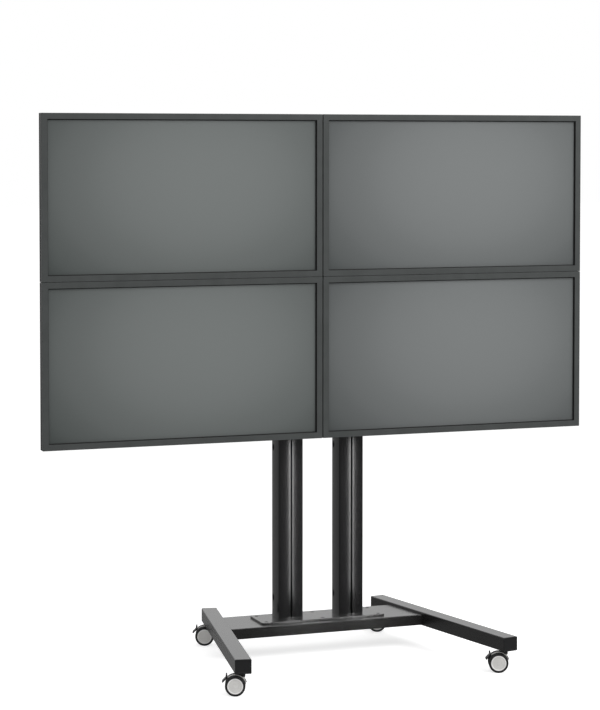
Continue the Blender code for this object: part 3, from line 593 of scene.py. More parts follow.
def powder_coated(name, colour, roughness, specular):
    """Satin powder coat: an orange-peel surface of about a millimetre."""
    material, tree, shader = new_material(name, colour, roughness, specular)
    cloud = grain(tree, 14, 3)
    speckle = grain(tree, 520)
    peel = grain(tree, 900)
    mean = maths(tree, "MULTIPLY", maths(tree, "ADD", cloud, speckle), 0.5)
    vary_colour(tree, shader, mean, colour, 0.82, 1.22)
    add_bump(tree, shader, maths(tree, "ADD", peel, speckle), 0.25, 0.014 * MM)
    return material


def moulded(name, colour, roughness=0.5, specular=0.4, size=1400, bump=0.35):
    """Moulded plastic with a fine spark-eroded grain and faint handling marks."""
    material, tree, shader = new_material(name, colour, roughness, specular)
    cloud = grain(tree, 22, 3)
    vary_colour(tree, shader, cloud, colour, 0.93, 1.07)
    vary_gloss(tree, shader, cloud, roughness - 0.04, roughness + 0.05)
    add_bump(tree, shader, grain(tree, size), bump, 0.12 * MM)
    return material


def anodised(name, colour, roughness, specular):
    """A black anodised extrusion, with fine lines drawn along its length."""
    material, tree, shader = new_material(name, colour, roughness, specular)
    lines = grain(tree, 900, stretch=(1, 1, 0.004))
    vary_colour(tree, shader, lines, colour, 0.85, 1.15)
    add_bump(tree, shader, lines, 0.12, 0.005 * MM)
    return material


def rubber(name, colour):
    """Tyre rubber with a dull, faintly dusty surface."""
    material, tree, shader = new_material(name, colour, 0.62, 0.35)
    dust = grain(tree, 120, 4)
    vary_colour(tree, shader, dust, colour, 1, 1.9)
    vary_gloss(tree, shader, dust, 0.55, 0.7)
    add_bump(tree, shader, maths(tree, "ADD", grain(tree, 1500), dust), 0.3, 0.15 * MM)
    return material


def zinc(name, colour, roughness=0.35):
    """Blackened steel for screws and pins, with turned marks."""
    material, tree, shader = new_material(name, colour, roughness, 0.5, 0.7)
    marks = grain(tree, 700, 3)
    vary_colour(tree, shader, marks, colour, 0.75, 1.3)
    vary_gloss(tree, shader, marks, roughness - 0.08, roughness + 0.12)
    return material


# Screens: a switched-off panel with a painted reflection of the studio light on it, palest right of its
# middle and above it, and darker to its corners
PAINTED_REFLECTION_MIDDLE = (0.55, 0.60)
PAINTED_REFLECTION_FALL = (73.0, 45.0)
PAINTED_REFLECTION_LEVELS = (0, 10, 20, 30, 40, 50)
SCREEN_SHEEN = 0.03  # what the matt surface itself adds, as a linear value


def linear(level):
    """A display level from 0 to 255 as a linear value."""
    share = max(level, 0) / 255
    return share / 12.92 if share <= 0.04045 else ((share + 0.055) / 1.055) ** 2.4


def screen_material(name, painted_peak):
    """A fine matt surface with a painted reflection: its colour falls off from a middle in the panel's own
    coordinates.
    """
    material, tree, shader = new_material(name, (0.17, 0.19, 0.185), 0.5, 0.3)
    place = node(tree, "TexCoord").outputs["Generated"]
    parts = node(tree, "SeparateXYZ", {"Vector": place}).outputs
    squares = []
    for axis, middle, fall in zip("XZ", PAINTED_REFLECTION_MIDDLE, PAINTED_REFLECTION_FALL):
        shifted = maths(tree, "SUBTRACT", parts[axis], middle)
        squares.append(maths(tree, "MULTIPLY", maths(tree, "MULTIPLY", shifted, shifted), fall))
    distance = maths(tree, "ADD", *squares)
    share = between(tree, distance, 0, 1, 0, PAINTED_REFLECTION_LEVELS[-1])
    colours = []
    for level in PAINTED_REFLECTION_LEVELS:
        drop = level + 0.006 * level**2
        colours.append([linear(channel - drop) - SCREEN_SHEEN for channel in painted_peak])
    # Painted reflection: the base colour is palest at the middle and darker towards the corners
    painted_reflection = run_of(tree, share, colours, interpolation="CARDINAL")
    tree.links.new(painted_reflection, shader.inputs["Base Color"])
    speckle = grain(tree, 1600, 1)
    vary_gloss(tree, shader, speckle, 0.46, 0.54)
    add_bump(tree, shader, speckle, 0.15, 0.05 * MM)
    return material


powder_coat = powder_coated("powder_coat", (0.012, 0.0118, 0.0114), 0.26, 0.65)
cap_plastic = moulded("cap_plastic", (0.009, 0.009, 0.0095))
column_black = anodised("column_black", (0.008, 0.008, 0.0084), 0.15, 0.5)
rail_steel = powder_coated("rail_steel", (0.02, 0.02, 0.021), 0.45, 0.4)
arm_steel = powder_coated("arm_steel", (0.024, 0.024, 0.026), 0.45, 0.4)
bezel_grey = moulded("bezel_grey", (0.058, 0.063, 0.062), 0.5, 0.3, 1100)
cover_black = moulded("cover_black", (0.018, 0.018, 0.019), 0.6, 0.2, 800, 0.6)
# Dark rubber for the gasket, and painted shade where it lines the bezel's opening
gasket_and_shade_black = rubber("gasket_and_shade_black", (0.008, 0.008, 0.008))
stem_black = zinc("stem_black", (0.035, 0.035, 0.037))
caster_grey = moulded("caster_grey", (0.70, 0.69, 0.67), 0.42, 0.4, 900)
caster_rim = moulded("caster_rim", (0.88, 0.87, 0.86), 0.35, 0.4, 900)
tyre_black = rubber("tyre_black", (0.010, 0.010, 0.0105))
pedal_black = moulded("pedal_black", (0.012, 0.012, 0.013), 0.45)
socket_metal = zinc("socket_metal", (0.25, 0.25, 0.26), 0.3)
# Painted light: the right-hand screens are coloured a little paler than the left-hand ones, as if lit from
# the right
screens_with_painted_side_light = {
    "left": screen_material("screen_left_painted_shade", (126, 130, 129)),
    "right": screen_material("screen_right_painted_light", (130, 133, 133)),
}


# Base

def leg_place(side_name):
    """Where a leg's own frame lies: its middle, turned by the splay."""
    return extent(f"{side_name}_leg")[2], SIDES[side_name] * LEG_SPLAY


def make_legs():
    half = LEG_LENGTH / 2 - LEG_CAP_THICKNESS
    outline = drawn_in(LEG_WIDTH, LEG_HEIGHT, LEG_CORNER, LEG_CORNER / 2, 6)
    tube = prism([outline(0), outline(LEG_WALL)], -half, half, "Y")
    hole = rod(STEM_HOLE_RADIUS, 32, -LEG_HEIGHT, -LEG_HEIGHT / 4)
    holes = repeated(hole, [(0, end * STEM_ALONG_LEG) for end in ENDS.values()])
    tube = mesh_from(cut(tube, holes))
    for side_name in SIDES:
        middle, turn = leg_place(side_name)
        leg = moved(copy_of(tube), *middle, turn)
        add_piece(f"{side_name}_leg_tube", leg, powder_coat, "root", f"{side_name}_leg")
        for end_name, end in ENDS.items():
            cap = moved(leg_cap(), 0, end * half, 0, 0 if end < 0 else math.pi)
            node_name = f"{side_name}_leg_cap_{end_name}"
            add_piece(f"{node_name}_plug", moved(cap, *middle, turn), cap_plastic, "root", node_name)


def leg_cap():
    """The plug in a leg's end, at -Y, with a shallow field inside a raised border."""
    return lofted(in_metres(LEG_CAP_SECTION), drawn_in(LEG_WIDTH, LEG_HEIGHT, LEG_CORNER, 1 * MM, 6), "Y")


def make_cross_member():
    """A flat box section between the legs, its ends cut to their splay."""
    low, high, middle = extent("cross_member")
    size = high - low
    outline = drawn_in(size.y, size.z, 2 * MM, 1 * MM, 5)
    tube = moved(prism([outline(0), outline(CROSS_WALL)], -1, 1, "X"), 0, middle.y, middle.z)
    for vert in tube.verts:
        side_name = "right" if vert.co.x > 0 else "left"
        leg_middle, turn = leg_place(side_name)
        inner_face = leg_middle.x - SIDES[side_name] * (LEG_WIDTH / 2 + 0.3 * MM) / math.cos(turn)
        vert.co.x = inner_face - math.tan(turn) * (vert.co.y - leg_middle.y)
    add_piece("cross_member_box", tube, powder_coat, "root", "cross_member")


def make_base_plate():
    """A flat plate with rounded edges, and its sunk screws."""
    low, high, middle = extent("base_plate")
    size = high - low
    section = [(0, -size.z), (0, -1.2 * MM), (0.35 * MM, -0.35 * MM), (1.2 * MM, 0)]
    plate = lofted(section, drawn_in(size.x, size.y, PLATE_CORNER, 0, 10))
    wide, narrow = PLATE_HOLE_RADIUS * 1.3, PLATE_HOLE_RADIUS * 0.5
    step = -PLATE_SCREW_DEPTH - 0.2 * MM
    profile = [(0, step - 2 * MM), (narrow, step - 2 * MM), (wide, step), (wide, 0.5 * MM), (0, 0.5 * MM)]
    places = [(x, y) for x in PLATE_HOLES_X for y in PLATE_HOLES_Y]
    plate = cut(plate, repeated(turned(profile, 24), places))
    screws = repeated(countersunk_screw(PLATE_HOLE_RADIUS, 2.8 * MM), places)
    top = (middle.x, middle.y, high.z)
    add_piece("base_plate_top", moved(plate, *top), powder_coat, "root", "base_plate")
    moved(screws, z=-PLATE_SCREW_DEPTH)
    add_piece("base_plate_screws", moved(screws, *top), stem_black, "root")


# Columns

def make_columns():
    for side_name in SIDES:
        name = f"{side_name}_column"
        low, high, middle = extent(name)
        tube = prism([column_outline(0, True), column_cavity()], low.z, high.z)
        hole = rod(CABLE_HOLE_RADIUS, 40, -60 * MM, 60 * MM, "X")
        holes = repeated(hole, [(0, CABLE_HOLE_BACK, height) for height in CABLE_HOLE_HEIGHTS])
        tube = moved(cut(tube, holes), middle.x, middle.y)
        add_piece(f"{name}_tube", tube, column_black, "root", name)
        lid = moved(column_cap(), middle.x, middle.y, high.z)
        add_piece(f"{name}_lid", lid, cap_plastic, "root", f"{name}_cap")


def column_cap():
    """A moulded lid with a rounded edge and a shallow field, and its plug below Z = 0."""
    plug = box(*in_metres(COLUMN_PLUG), 1 * MM)
    return together(lofted(in_metres(COLUMN_LID_SECTION), column_outline), plug)


# Displays

def framed(section, width, height, corner):
    """A section of (inset, Y) points led round a rectangle with rounded corners."""
    return lofted(section, drawn_in(width, height, corner, 0.3 * MM), "Y", True)


def make_bezel(name, body):
    """The bezel's frame, and the dark gasket between it and the panel, whose black lining of the opening's
    wall is painted shade.
    """
    low, high, middle = extent(f"{name}_bezel")
    width, depth, height = high - low
    edge = BEZEL_EDGE
    section = [(0, depth), (0, edge)]
    section += [(edge - edge * math.cos(a), edge - edge * math.sin(a)) for a in (0.4, 0.8, 1.2)]
    section += [(edge, 0), (BEZEL_WIDTH - 0.9 * MM, 0)]
    section += [(BEZEL_WIDTH - 0.25 * MM, 0.25 * MM), (BEZEL_WIDTH, 0.9 * MM), (BEZEL_WIDTH, BEZEL_LIP)]
    section += [(BEZEL_WALL, BEZEL_LIP), (BEZEL_WALL, depth)]
    bezel = moved(framed(section, width, height, DISPLAY_CORNER), middle.x, low.y, middle.z)
    add_piece(f"{name}_bezel_frame", bezel, bezel_grey, body, f"{name}_bezel")
    # Partly painted shade: the black lining darkens the opening's wall where its shadow falls
    gasket = framed(in_metres(GASKET_AND_SHADE_SECTION), width, height, 0.3 * MM)
    add_piece(f"{name}_gasket", moved(gasket, middle.x, low.y, middle.z), gasket_and_shade_black, body)


def make_panel(name, material, body):
    low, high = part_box(f"{name}_screen")
    add_piece(f"{name}_panel", box(low, high, 0.5 * MM), material, body, f"{name}_screen")


def cover_cutters(width, height):
    """Banks of vents, two long grooves, and openings for the sockets' pans."""
    vent = prism([rounded_rectangle(*VENT_SIZE, VENT_SIZE[0] * 0.49)], -VENT_DEPTH, 1 * MM, "Y")
    start = -(VENT_COUNT - 1) * VENT_PITCH / 2
    rows = [height / 2 - below for below in VENTS_BELOW_TOP] + [VENTS_ABOVE_BOTTOM - height / 2]
    across = [bank * width + start + i * VENT_PITCH for bank in VENT_BANKS for i in range(VENT_COUNT)]
    places = [(x, 0, z) for z in rows for x in across]
    groove = prism([rounded_rectangle(width - 60 * MM, 2 * MM, 0.9 * MM, 3)], -1 * MM, 1 * MM, "Y")
    grooves = [(0, 0, height / 2 - GROOVE_BELOW_TOP), (0, 0, GROOVE_ABOVE_BOTTOM - height / 2)]
    cutters = [repeated(vent, places), repeated(groove, grooves)]
    for x, size in POCKETS:
        opening = prism([rounded_rectangle(*size, 3 * MM)], -2 * COVER_BACK, 1 * MM, "Y")
        cutters.append(moved(opening, x, 0, POCKETS_HEIGHT - height / 2))
    return cutters


def cover_mesh(size):
    """The display's back, a tray with its openings. Its face is at Y = 0."""
    width, depth, height = size
    section = [(COVER_WALL, -COVER_BACK), (COVER_WALL, -depth), (0, -depth)]
    section += [(0, -COVER_EDGE - 0.5 * MM), (0.6 * MM, -COVER_EDGE + 0.5 * MM)]
    section += [(COVER_EDGE - 0.6 * MM, -0.5 * MM), (COVER_EDGE + 0.6 * MM, 0)]
    tray = lofted(section, drawn_in(width, height, DISPLAY_CORNER, 0.3 * MM), "Y")
    return cut(tray, *cover_cutters(width, height))


def pocket_pan(width, height):
    """A sunk pan behind an opening in the cover, with a flange against the cover's inside."""
    def grown(growth):
        return rounded_rectangle(width + 2 * growth, height + 2 * growth, 3 * MM)
    front = -COVER_BACK - 0.1 * MM
    back = front - POCKET_WALL
    section = [(-0.3 * MM, front), (4 * MM, front), (4 * MM, back)]
    section += [(POCKET_WALL - 0.3 * MM, back), (POCKET_WALL - 0.8 * MM, -POCKET_DEPTH - POCKET_WALL)]
    hollow = rounded_rectangle(width - 0.6 * MM, height - 0.6 * MM, 2.5 * MM)
    return cut(lofted(section, grown, "Y"), prism([hollow], -POCKET_DEPTH, 1 * MM, "Y"))


def socket_shell(width, height, rounding):
    """The metal mouth of one socket: a frame that stands up from Y = 0, with a tongue in it."""
    outline = drawn_in(width, height, rounding, 0.3 * MM)
    mouth = prism([outline(0), outline(0.8 * MM)], 0, SOCKET_REACH, "Y")
    half = width * 0.32
    tongue = box((-half, 0, -0.5 * MM), (half, SOCKET_REACH * 0.8, 0.5 * MM), 0.2 * MM, 1)
    return together(mouth, tongue)


def socket_row():
    """Picture and data sockets in a row, with round jacks at its end, from Y = 0 up."""
    shells = []
    x = SOCKETS_START
    for width, height, rounding, space in in_metres(SOCKETS):
        shells.append(moved(socket_shell(width, height, rounding), x + width / 2))
        x += width + space
    jack = turned(in_metres(JACK_SECTION), 24, True, "Y")
    jacks = repeated(jack, [(x + 4 * MM + i * JACK_PITCH,) for i in range(JACK_COUNT)])
    return together(*shells, jacks)


def power_inlet():
    """A mains inlet's plastic mouth, and its three flat pins, from Y = 0 up."""
    outline = drawn_in(28 * MM, 20 * MM, 4 * MM, 3 * MM)
    mouth = prism([outline(0), outline(2.5 * MM)], 0, 6 * MM, "Y")
    pin = box(*in_metres(POWER_PIN), 0.3 * MM, 1)
    return mouth, repeated(pin, in_metres(POWER_PINS))


def make_cover(name, body, mesh):
    """The back's shell, what is in its two pockets, and its screws."""
    low, high, middle = extent(f"{name}_rear_cover")
    cover = moved(copy_of(mesh), middle.x, high.y, middle.z)
    add_piece(f"{name}_back_shell", cover, cover_black, body, f"{name}_rear_cover")
    height = low.z + POCKETS_HEIGHT
    pans = [moved(pocket_pan(*size), middle.x + x, high.y, height) for x, size in POCKETS]
    floor_y = high.y - POCKET_DEPTH + 0.05 * MM
    socket_x, power_x = (middle.x + x for x, _ in POCKETS)
    sockets = moved(socket_row(), socket_x, floor_y, height)
    inlet, pins = (moved(part, power_x, floor_y, height) for part in power_inlet())
    add_piece(f"{name}_socket_pans", together(*pans, inlet), cover_black, body)
    add_piece(f"{name}_sockets", together(sockets, pins), socket_metal, body)
    size = high - low
    places = [(x * size.x, -0.75 * MM, z * size.z) for x in COVER_SCREWS_X for z in COVER_SCREWS_Z]
    screws = repeated(facing(socket_screw(3.2 * MM, 0.9 * MM), "+Y"), places)
    add_piece(f"{name}_cover_screws", moved(screws, middle.x, high.y, middle.z), stem_black, body)


# Rails, clamps and arms

def rail_mesh(low, high, middle):
    """A folded rail with flanges to the front, its bends rounded, and long slots along it."""
    depth = high.y - low.y
    half = (high.z - low.z) / 2 - RAIL_FLANGE
    thick, bend = RAIL_THICKNESS, RAIL_BEND
    top = half + RAIL_FLANGE
    edge = 0.4 * MM
    upper = arc((depth - bend, half - bend), bend, 0, math.pi / 2, 3)
    upper += [(thick, half), (thick, top - edge), (thick - edge, top), (edge, top), (0, top - edge)]
    upper += arc((bend, half - RAIL_SHELF + bend), bend, math.pi, 1.5 * math.pi, 3)
    upper += [(depth - thick, half - RAIL_SHELF)]
    outline = upper + [(y, -z) for y, z in reversed(upper)]
    rail = moved(prism([outline], low.x, high.x, "X"), 0, low.y, middle.z)
    slot = prism([rounded_rectangle(*RAIL_SLOT_SIZE, 4.4 * MM, 6)], low.y - 0.01, high.y + 0.01, "Y")
    count = int((high.x - low.x - RAIL_SLOT_PITCH) / RAIL_SLOT_PITCH)
    start = middle.x - (count - 1) / 2 * RAIL_SLOT_PITCH
    places = [(start + i * RAIL_SLOT_PITCH, 0, middle.z + z) for i in range(count) for z in RAIL_SLOT_ROWS]
    return cut(rail, repeated(slot, places))


def make_rail(row):
    """A rail with a cap on each end, its two clamps and their bolts."""
    body = f"{row}_row"
    low, high, middle = extent(f"{row}_rail")
    rail = rail_mesh(low, high, middle)
    add_piece(f"{row}_rail_profile", rail, rail_steel, body, f"{row}_rail")
    caps = []
    for side, x in ((-1, low.x), (1, high.x)):
        near = x + side * 0.05 * MM
        far = near + side * RAIL_THICKNESS
        corner = (min(near, far), low.y - 0.3 * MM, low.z - 0.6 * MM)
        caps.append(box(corner, (max(near, far), high.y + 0.3 * MM, high.z + 0.6 * MM), 0.6 * MM))
    add_piece(f"{row}_rail_end_caps", together(*caps), cap_plastic, body)
    bolts = []
    for side_name in SIDES:
        node_name = f"{row}_rail_clamp_{side_name}"
        clamp = clamp_mesh(*extent(node_name))
        add_piece(f"{node_name}_plate", clamp, rail_steel, body, node_name)
        x = extent(node_name)[2].x
        bolts += [(x, high.y - RAIL_THICKNESS, middle.z + z) for z in RAIL_BOLTS]
    bolt = facing(hexagon_bolt(10 * MM, 5.5 * MM), "-Y")
    add_piece(f"{row}_rail_bolts", repeated(bolt, bolts), stem_black, body)


def clamp_mesh(low, high, middle):
    """The plate behind the rail, and the key that grips the column's slot."""
    plate_back = low.y + CLAMP_THICKNESS
    outline = rounded_rectangle(high.x - low.x, high.z - low.z, 6 * MM, 6)
    plate = prism([outline], low.y, plate_back, "Y")
    round_edges(plate, 0.6 * MM, angle=THIN_EDGE_ANGLE)
    neck_half = SLOT_MOUTH / 2 - KEY_PLAY
    head_half = SLOT_CHANNEL_WIDTH / 2 - KEY_PLAY
    front = high.y - (SLOT_CHANNEL_DEPTH - 2 * KEY_PLAY)
    neck_top = CLAMP_KEY_HALF_HEIGHT
    head_top = neck_top - 0.1 * MM
    neck = box((-neck_half, plate_back - 1 * MM, -neck_top), (neck_half, front + 1 * MM, neck_top))
    head = box((-head_half, front, -head_top), (head_half, high.y, head_top), 0.5 * MM)
    return moved(joined(joined(plate, neck), head), middle.x, 0, middle.z)


def arm_mesh(low, high, bar_bottom):
    """A channel with long holes, and the hook that hangs on the rail. Its middle is at X = 0."""
    half = (high.x - low.x) / 2
    back = low.y + ARM_DEPTH
    bend, wall = ARM_BEND, ARM_WALL
    outline = [(-half, back)]
    outline += arc((-half + bend, low.y + bend), bend, math.pi, 1.5 * math.pi, 3)
    outline += arc((half - bend, low.y + bend), bend, 1.5 * math.pi, 2 * math.pi, 3)
    outline += [(half, back), (half - wall, back), (half - wall, low.y + wall)]
    outline += [(-half + wall, low.y + wall), (-half + wall, back)]
    channel = prism([outline], low.z, high.z)
    hole = prism([rounded_rectangle(8 * MM, 26 * MM, 3.9 * MM, 5)], low.y - 10 * MM, low.y + 5 * MM, "Y")
    middle_z = (low.z + high.z) / 2
    holes = repeated(hole, [(0, 0, middle_z + share * (high.z - low.z)) for share in ARM_HOLES])
    side = half - 0.1 * MM
    bar_top = bar_bottom + HOOK_BAR_HEIGHT
    bar = box((-side, low.y + 1 * MM, bar_bottom), (side, high.y, bar_top), 0.7 * MM)
    side = half - 0.2 * MM
    tooth_low = (-side, high.y - 3.2 * MM, bar_bottom - 9 * MM)
    tooth = box(tooth_low, (side, high.y - 0.1 * MM, bar_bottom + 2 * MM), 0.7 * MM)
    return joined(joined(cut(channel, holes), bar), tooth)


def make_arms(name, row, body):
    """A display's two arms, each with its screws and the levelling screw in its hook."""
    bar_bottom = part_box(f"{row}_rail")[1].z + HOOK_PLAY
    for arm_side in SIDES:
        node_name = f"{name}_arm_{arm_side}"
        low, high, middle = extent(node_name)
        arm = moved(arm_mesh(low, high, bar_bottom), middle.x)
        add_piece(f"{node_name}_channel", arm, arm_steel, body, node_name)
        heads = [(middle.x, low.y + ARM_WALL, middle.z + z) for z in ARM_SCREWS]
        screws = repeated(facing(hexagon_bolt(8 * MM, 5 * MM), "+Y"), heads)
        levelling = hexagon_bolt(8 * MM, 6 * MM)
        moved(levelling, middle.x, low.y + 9.5 * MM, bar_bottom + HOOK_BAR_HEIGHT)
        add_piece(f"{node_name}_screws", together(screws, levelling), stem_black, body)


def make_rows():
    low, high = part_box("lower_left_rear_cover")
    cover = mesh_from(cover_mesh(high - low), "cover")
    for row in ROWS:
        make_rail(row)
        for side_name in SIDES:
            name = f"{row}_{side_name}"
            body = f"{name}_display"
            make_bezel(name, body)
            make_panel(name, screens_with_painted_side_light[side_name], body)
            make_cover(name, body, cover)
            make_arms(name, row, body)


# Casters, in a frame at the axle's middle, with X towards the stem

def tyre_mesh():
    """A tyre with rounded shoulders and a shallow step beside the hub. Its outer face is at -Y."""
    inner, outer, radius, hub = WHEEL_INNER_FACE, WHEEL_OUTER_FACE, AXLE_HEIGHT, HUB_RADIUS
    shoulder, edge = 3.6 * MM, 1.6 * MM
    profile = [(hub - 2 * MM, inner + 1 * MM), (hub + 2 * MM, inner), (radius - edge, inner)]
    profile += arc((radius - edge, inner + edge), edge, -math.pi / 2 + 0.5, 0, 4)
    profile += arc((radius - shoulder, outer - 4.2 * MM), shoulder, 0, math.pi / 2 - 0.15, 7)
    profile += [(hub + 1.6 * MM, outer - 0.4 * MM), (hub + 0.5 * MM, outer - 0.9 * MM)]
    profile += [(hub + 0.1 * MM, outer - 2.2 * MM), (hub - 2 * MM, outer - 2.4 * MM)]
    return turned([(r, -y) for r, y in profile], 72, True, "Y")


def hub_mesh():
    """The hub's disc, with a raised rim and shallow grooves, and the bored boss behind it."""
    inner, outer, radius = WHEEL_INNER_FACE, WHEEL_OUTER_FACE, HUB_RADIUS
    bore = AXLE_RADIUS + 0.4 * MM
    profile = [(r, outer - drop) for r, drop in in_metres(HUB_RELIEF)]
    profile += [(radius, outer - 0.9 * MM), (radius, outer - 2.3 * MM)]
    profile += [(radius - 2.1 * MM, outer - 2.5 * MM), (radius - 2.1 * MM, inner + 1 * MM)]
    profile += [(8 * MM, inner + 1 * MM), (7 * MM, inner), (bore, inner)]
    profile += [(bore, outer - 2.6 * MM), (0, outer - 2.6 * MM)]
    hub = turned([(r, -y) for r, y in profile], 72, axis="Y")
    for face in hub.faces:
        middle = face.calc_center_median()
        if math.hypot(middle.x, middle.z) > HUB_RIM_RADIUS and -middle.y > outer - HUB_RIM_DEPTH:
            face.material_index = 1
    return hub


def swivel_ring_mesh():
    """A black ring round the top of the boss, under the stem's collar."""
    low, high = SWIVEL_RING_BOTTOM - AXLE_HEIGHT, BOSS_TOP - AXLE_HEIGHT
    profile = rod_profile(COLLAR_RADIUS, low, high, 0.5 * MM, BOSS_RADIUS + 0.05 * MM)
    ring = moved(turned(profile, 40, True), CASTER_TRAIL)
    return cut(ring, rod(HOOD_RADII[1] - 0.2 * MM, 72, -50 * MM, 50 * MM, "Y"))


def ring_part(radii, steps, shorter=0.0):
    """Part of a ring, as far round as the hood, less an angle at each end."""
    start = HOOD_ANGLES[0] + shorter
    end = HOOD_ANGLES[1] - shorter
    return arc((0, 0), radii[1], start, end, steps) + arc((0, 0), radii[0], end, start, steps)


def collar_space():
    """Room for the stem's collar to turn in, above the boss."""
    bottom = BOSS_TOP - AXLE_HEIGHT + 0.05 * MM
    return moved(rod(COLLAR_RADIUS + COLLAR_PLAY, 40, bottom, 2 * BOSS_TOP), CASTER_TRAIL)


def boss_mesh():
    """The boss under the stem, with a bore for it at the top."""
    top = BOSS_TOP - AXLE_HEIGHT
    bore_bottom = top - BOSS_BORE_DEPTH
    profile = [(0, 0), (BOSS_RADIUS, 0), (BOSS_RADIUS, top - 1 * MM), (BOSS_RADIUS - 1 * MM, top)]
    profile += [(STEM_HOLE_RADIUS, top), (STEM_HOLE_RADIUS, bore_bottom), (0, bore_bottom)]
    return moved(turned(profile, 40), CASTER_TRAIL)


def fork_mesh():
    """The housing: a web between the wheels, a hood over them, the boss, the pedal's ear and the axle."""
    pivot_x, pivot_z = PEDAL_PIVOT
    housing = rod(WEB_RADIUS, 48, -WEB_HALF_THICKNESS, WEB_HALF_THICKNESS, "Y")
    hood = prism([ring_part(HOOD_RADII, 40)], -HOOD_HALF_WIDTH, HOOD_HALF_WIDTH, "Y")
    round_edges(hood, 0.5 * MM, angle=THIN_EDGE_ANGLE)
    spine_radii = (WEB_RADIUS - 2 * MM, HOOD_RADII[0] + 1 * MM)
    spine_half = WEB_HALF_THICKNESS - 0.6 * MM
    spine = prism([ring_part(spine_radii, 30, math.radians(1))], -spine_half, spine_half, "Y")
    ear = moved(rod(EAR_RADIUS, 24, -EAR_HALF_WIDTH, EAR_HALF_WIDTH, "Y"), pivot_x, 0, pivot_z)
    neck_top = math.hypot(pivot_x, pivot_z) - 2.5 * MM
    neck = box((-2.6 * MM, -3.8 * MM, WEB_RADIUS - 2 * MM), (2.6 * MM, 3.8 * MM, neck_top))
    moved(neck, tilt=math.atan2(pivot_x, pivot_z))
    for part in (spine, hood, boss_mesh(), neck, ear):
        housing = joined(housing, part)
    spaces = []
    for side in (-1, 1):
        ends = sorted((side * (WEB_HALF_THICKNESS + 0.2 * MM), side * 2 * WHEEL_OUTER_FACE))
        spaces.append(rod(WHEEL_SPACE_RADIUS, 72, *ends, "Y"))
    pin_hole = moved(rod(PIN_RADIUS + 0.4 * MM, 16, -20 * MM, 20 * MM, "Y"), pivot_x, 0, pivot_z)
    housing = cut(housing, *spaces, pin_hole, collar_space())
    axle = rod_profile(AXLE_RADIUS, -AXLE_HALF_LENGTH, AXLE_HALF_LENGTH, ROD_EDGE)
    return joined(housing, turned(axle, 24, axis="Y"))


def fin_mesh():
    """The black strip along the top of the hood, which ends before the stem's collar."""
    outline = ring_part(FIN_RADII, 40, math.radians(2.5))
    fin = prism([outline], -FIN_HALF_THICKNESS, FIN_HALF_THICKNESS, "Y")
    boss_space = moved(rod(BOSS_RADIUS + 0.1 * MM, 40, -100 * MM, 100 * MM), CASTER_TRAIL)
    return cut(cut(fin, collar_space()), boss_space)


def paddle(tip):
    """A bar with a round end, from the pedal's pivot to a tip."""
    pivot = Vector(PEDAL_PIVOT)
    reach = (Vector(tip) - pivot).length
    angle = math.atan2(tip[1] - pivot.y, tip[0] - pivot.x)
    half = PEDAL_THICKNESS / 2
    outline = [(0, -half), *arc((reach - half, 0), half, -math.pi / 2, math.pi / 2, 8), (0, half)]
    bar = prism([outline], -PEDAL_HALF_WIDTH, PEDAL_HALF_WIDTH, "Y")
    round_edges(bar, 0.4 * MM, angle=THIN_EDGE_ANGLE)
    return moved(bar, tilt=-angle)


def pedal_mesh():
    """The brake's two paddles on their hub, split in the middle for the housing's ear, and the pin."""
    end = PEDAL_HALF_WIDTH - 0.1 * MM
    hub = turned(rod_profile(PEDAL_HUB_RADIUS, -end, end, ROD_EDGE), 24, axis="Y")
    pedal = joined(joined(paddle(PEDAL_TIPS[0]), paddle(PEDAL_TIPS[1])), hub)
    slot = rod(PEDAL_SLOT_RADIUS, 36, -5.4 * MM, 5.4 * MM, "Y")
    pin = rod(PIN_RADIUS, 16, 1 * MM - PEDAL_HALF_WIDTH, PEDAL_HALF_WIDTH - 1 * MM, "Y")
    return joined(cut(pedal, slot), pin)


def stem_mesh():
    """The stud with its collar below the leg and its nut inside. The origin is at floor level."""
    low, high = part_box("front_left_caster_stem")
    leg_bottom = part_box("left_leg")[0].z
    top = leg_bottom - 0.3 * MM
    stem, collar = STEM_RADIUS, COLLAR_RADIUS
    profile = [(0, low.z), (stem - 0.4 * MM, low.z), (stem, low.z + 0.4 * MM), (stem, COLLAR_BOTTOM)]
    profile += [(collar - 0.6 * MM, COLLAR_BOTTOM), (collar, COLLAR_BOTTOM + 0.6 * MM)]
    profile += [(collar, top - 0.5 * MM), (collar - 0.5 * MM, top), (stem, top)]
    profile += [(stem, high.z - 1 * MM), (stem - 1 * MM, high.z), (0, high.z)]
    nut_bottom = leg_bottom + LEG_WALL + 0.4 * MM
    nut = rod(9 * MM, 6, nut_bottom, nut_bottom + 7.8 * MM)
    return joined(turned(profile, 40), nut)


def make_casters():
    shapes = (tyre_mesh, hub_mesh, fork_mesh, fin_mesh, swivel_ring_mesh, pedal_mesh, stem_mesh)
    meshes = {shape.__name__.removesuffix("_mesh"): mesh_from(shape()) for shape in shapes}
    for side_name in SIDES:
        middle, turn = leg_place(side_name)
        for end_name, end in ENDS.items():
            stem = Matrix.Rotation(turn, 3, "Z") @ Vector((0, end * STEM_ALONG_LEG, 0)) + middle
            make_caster(f"{end_name}_{side_name}", stem, meshes)


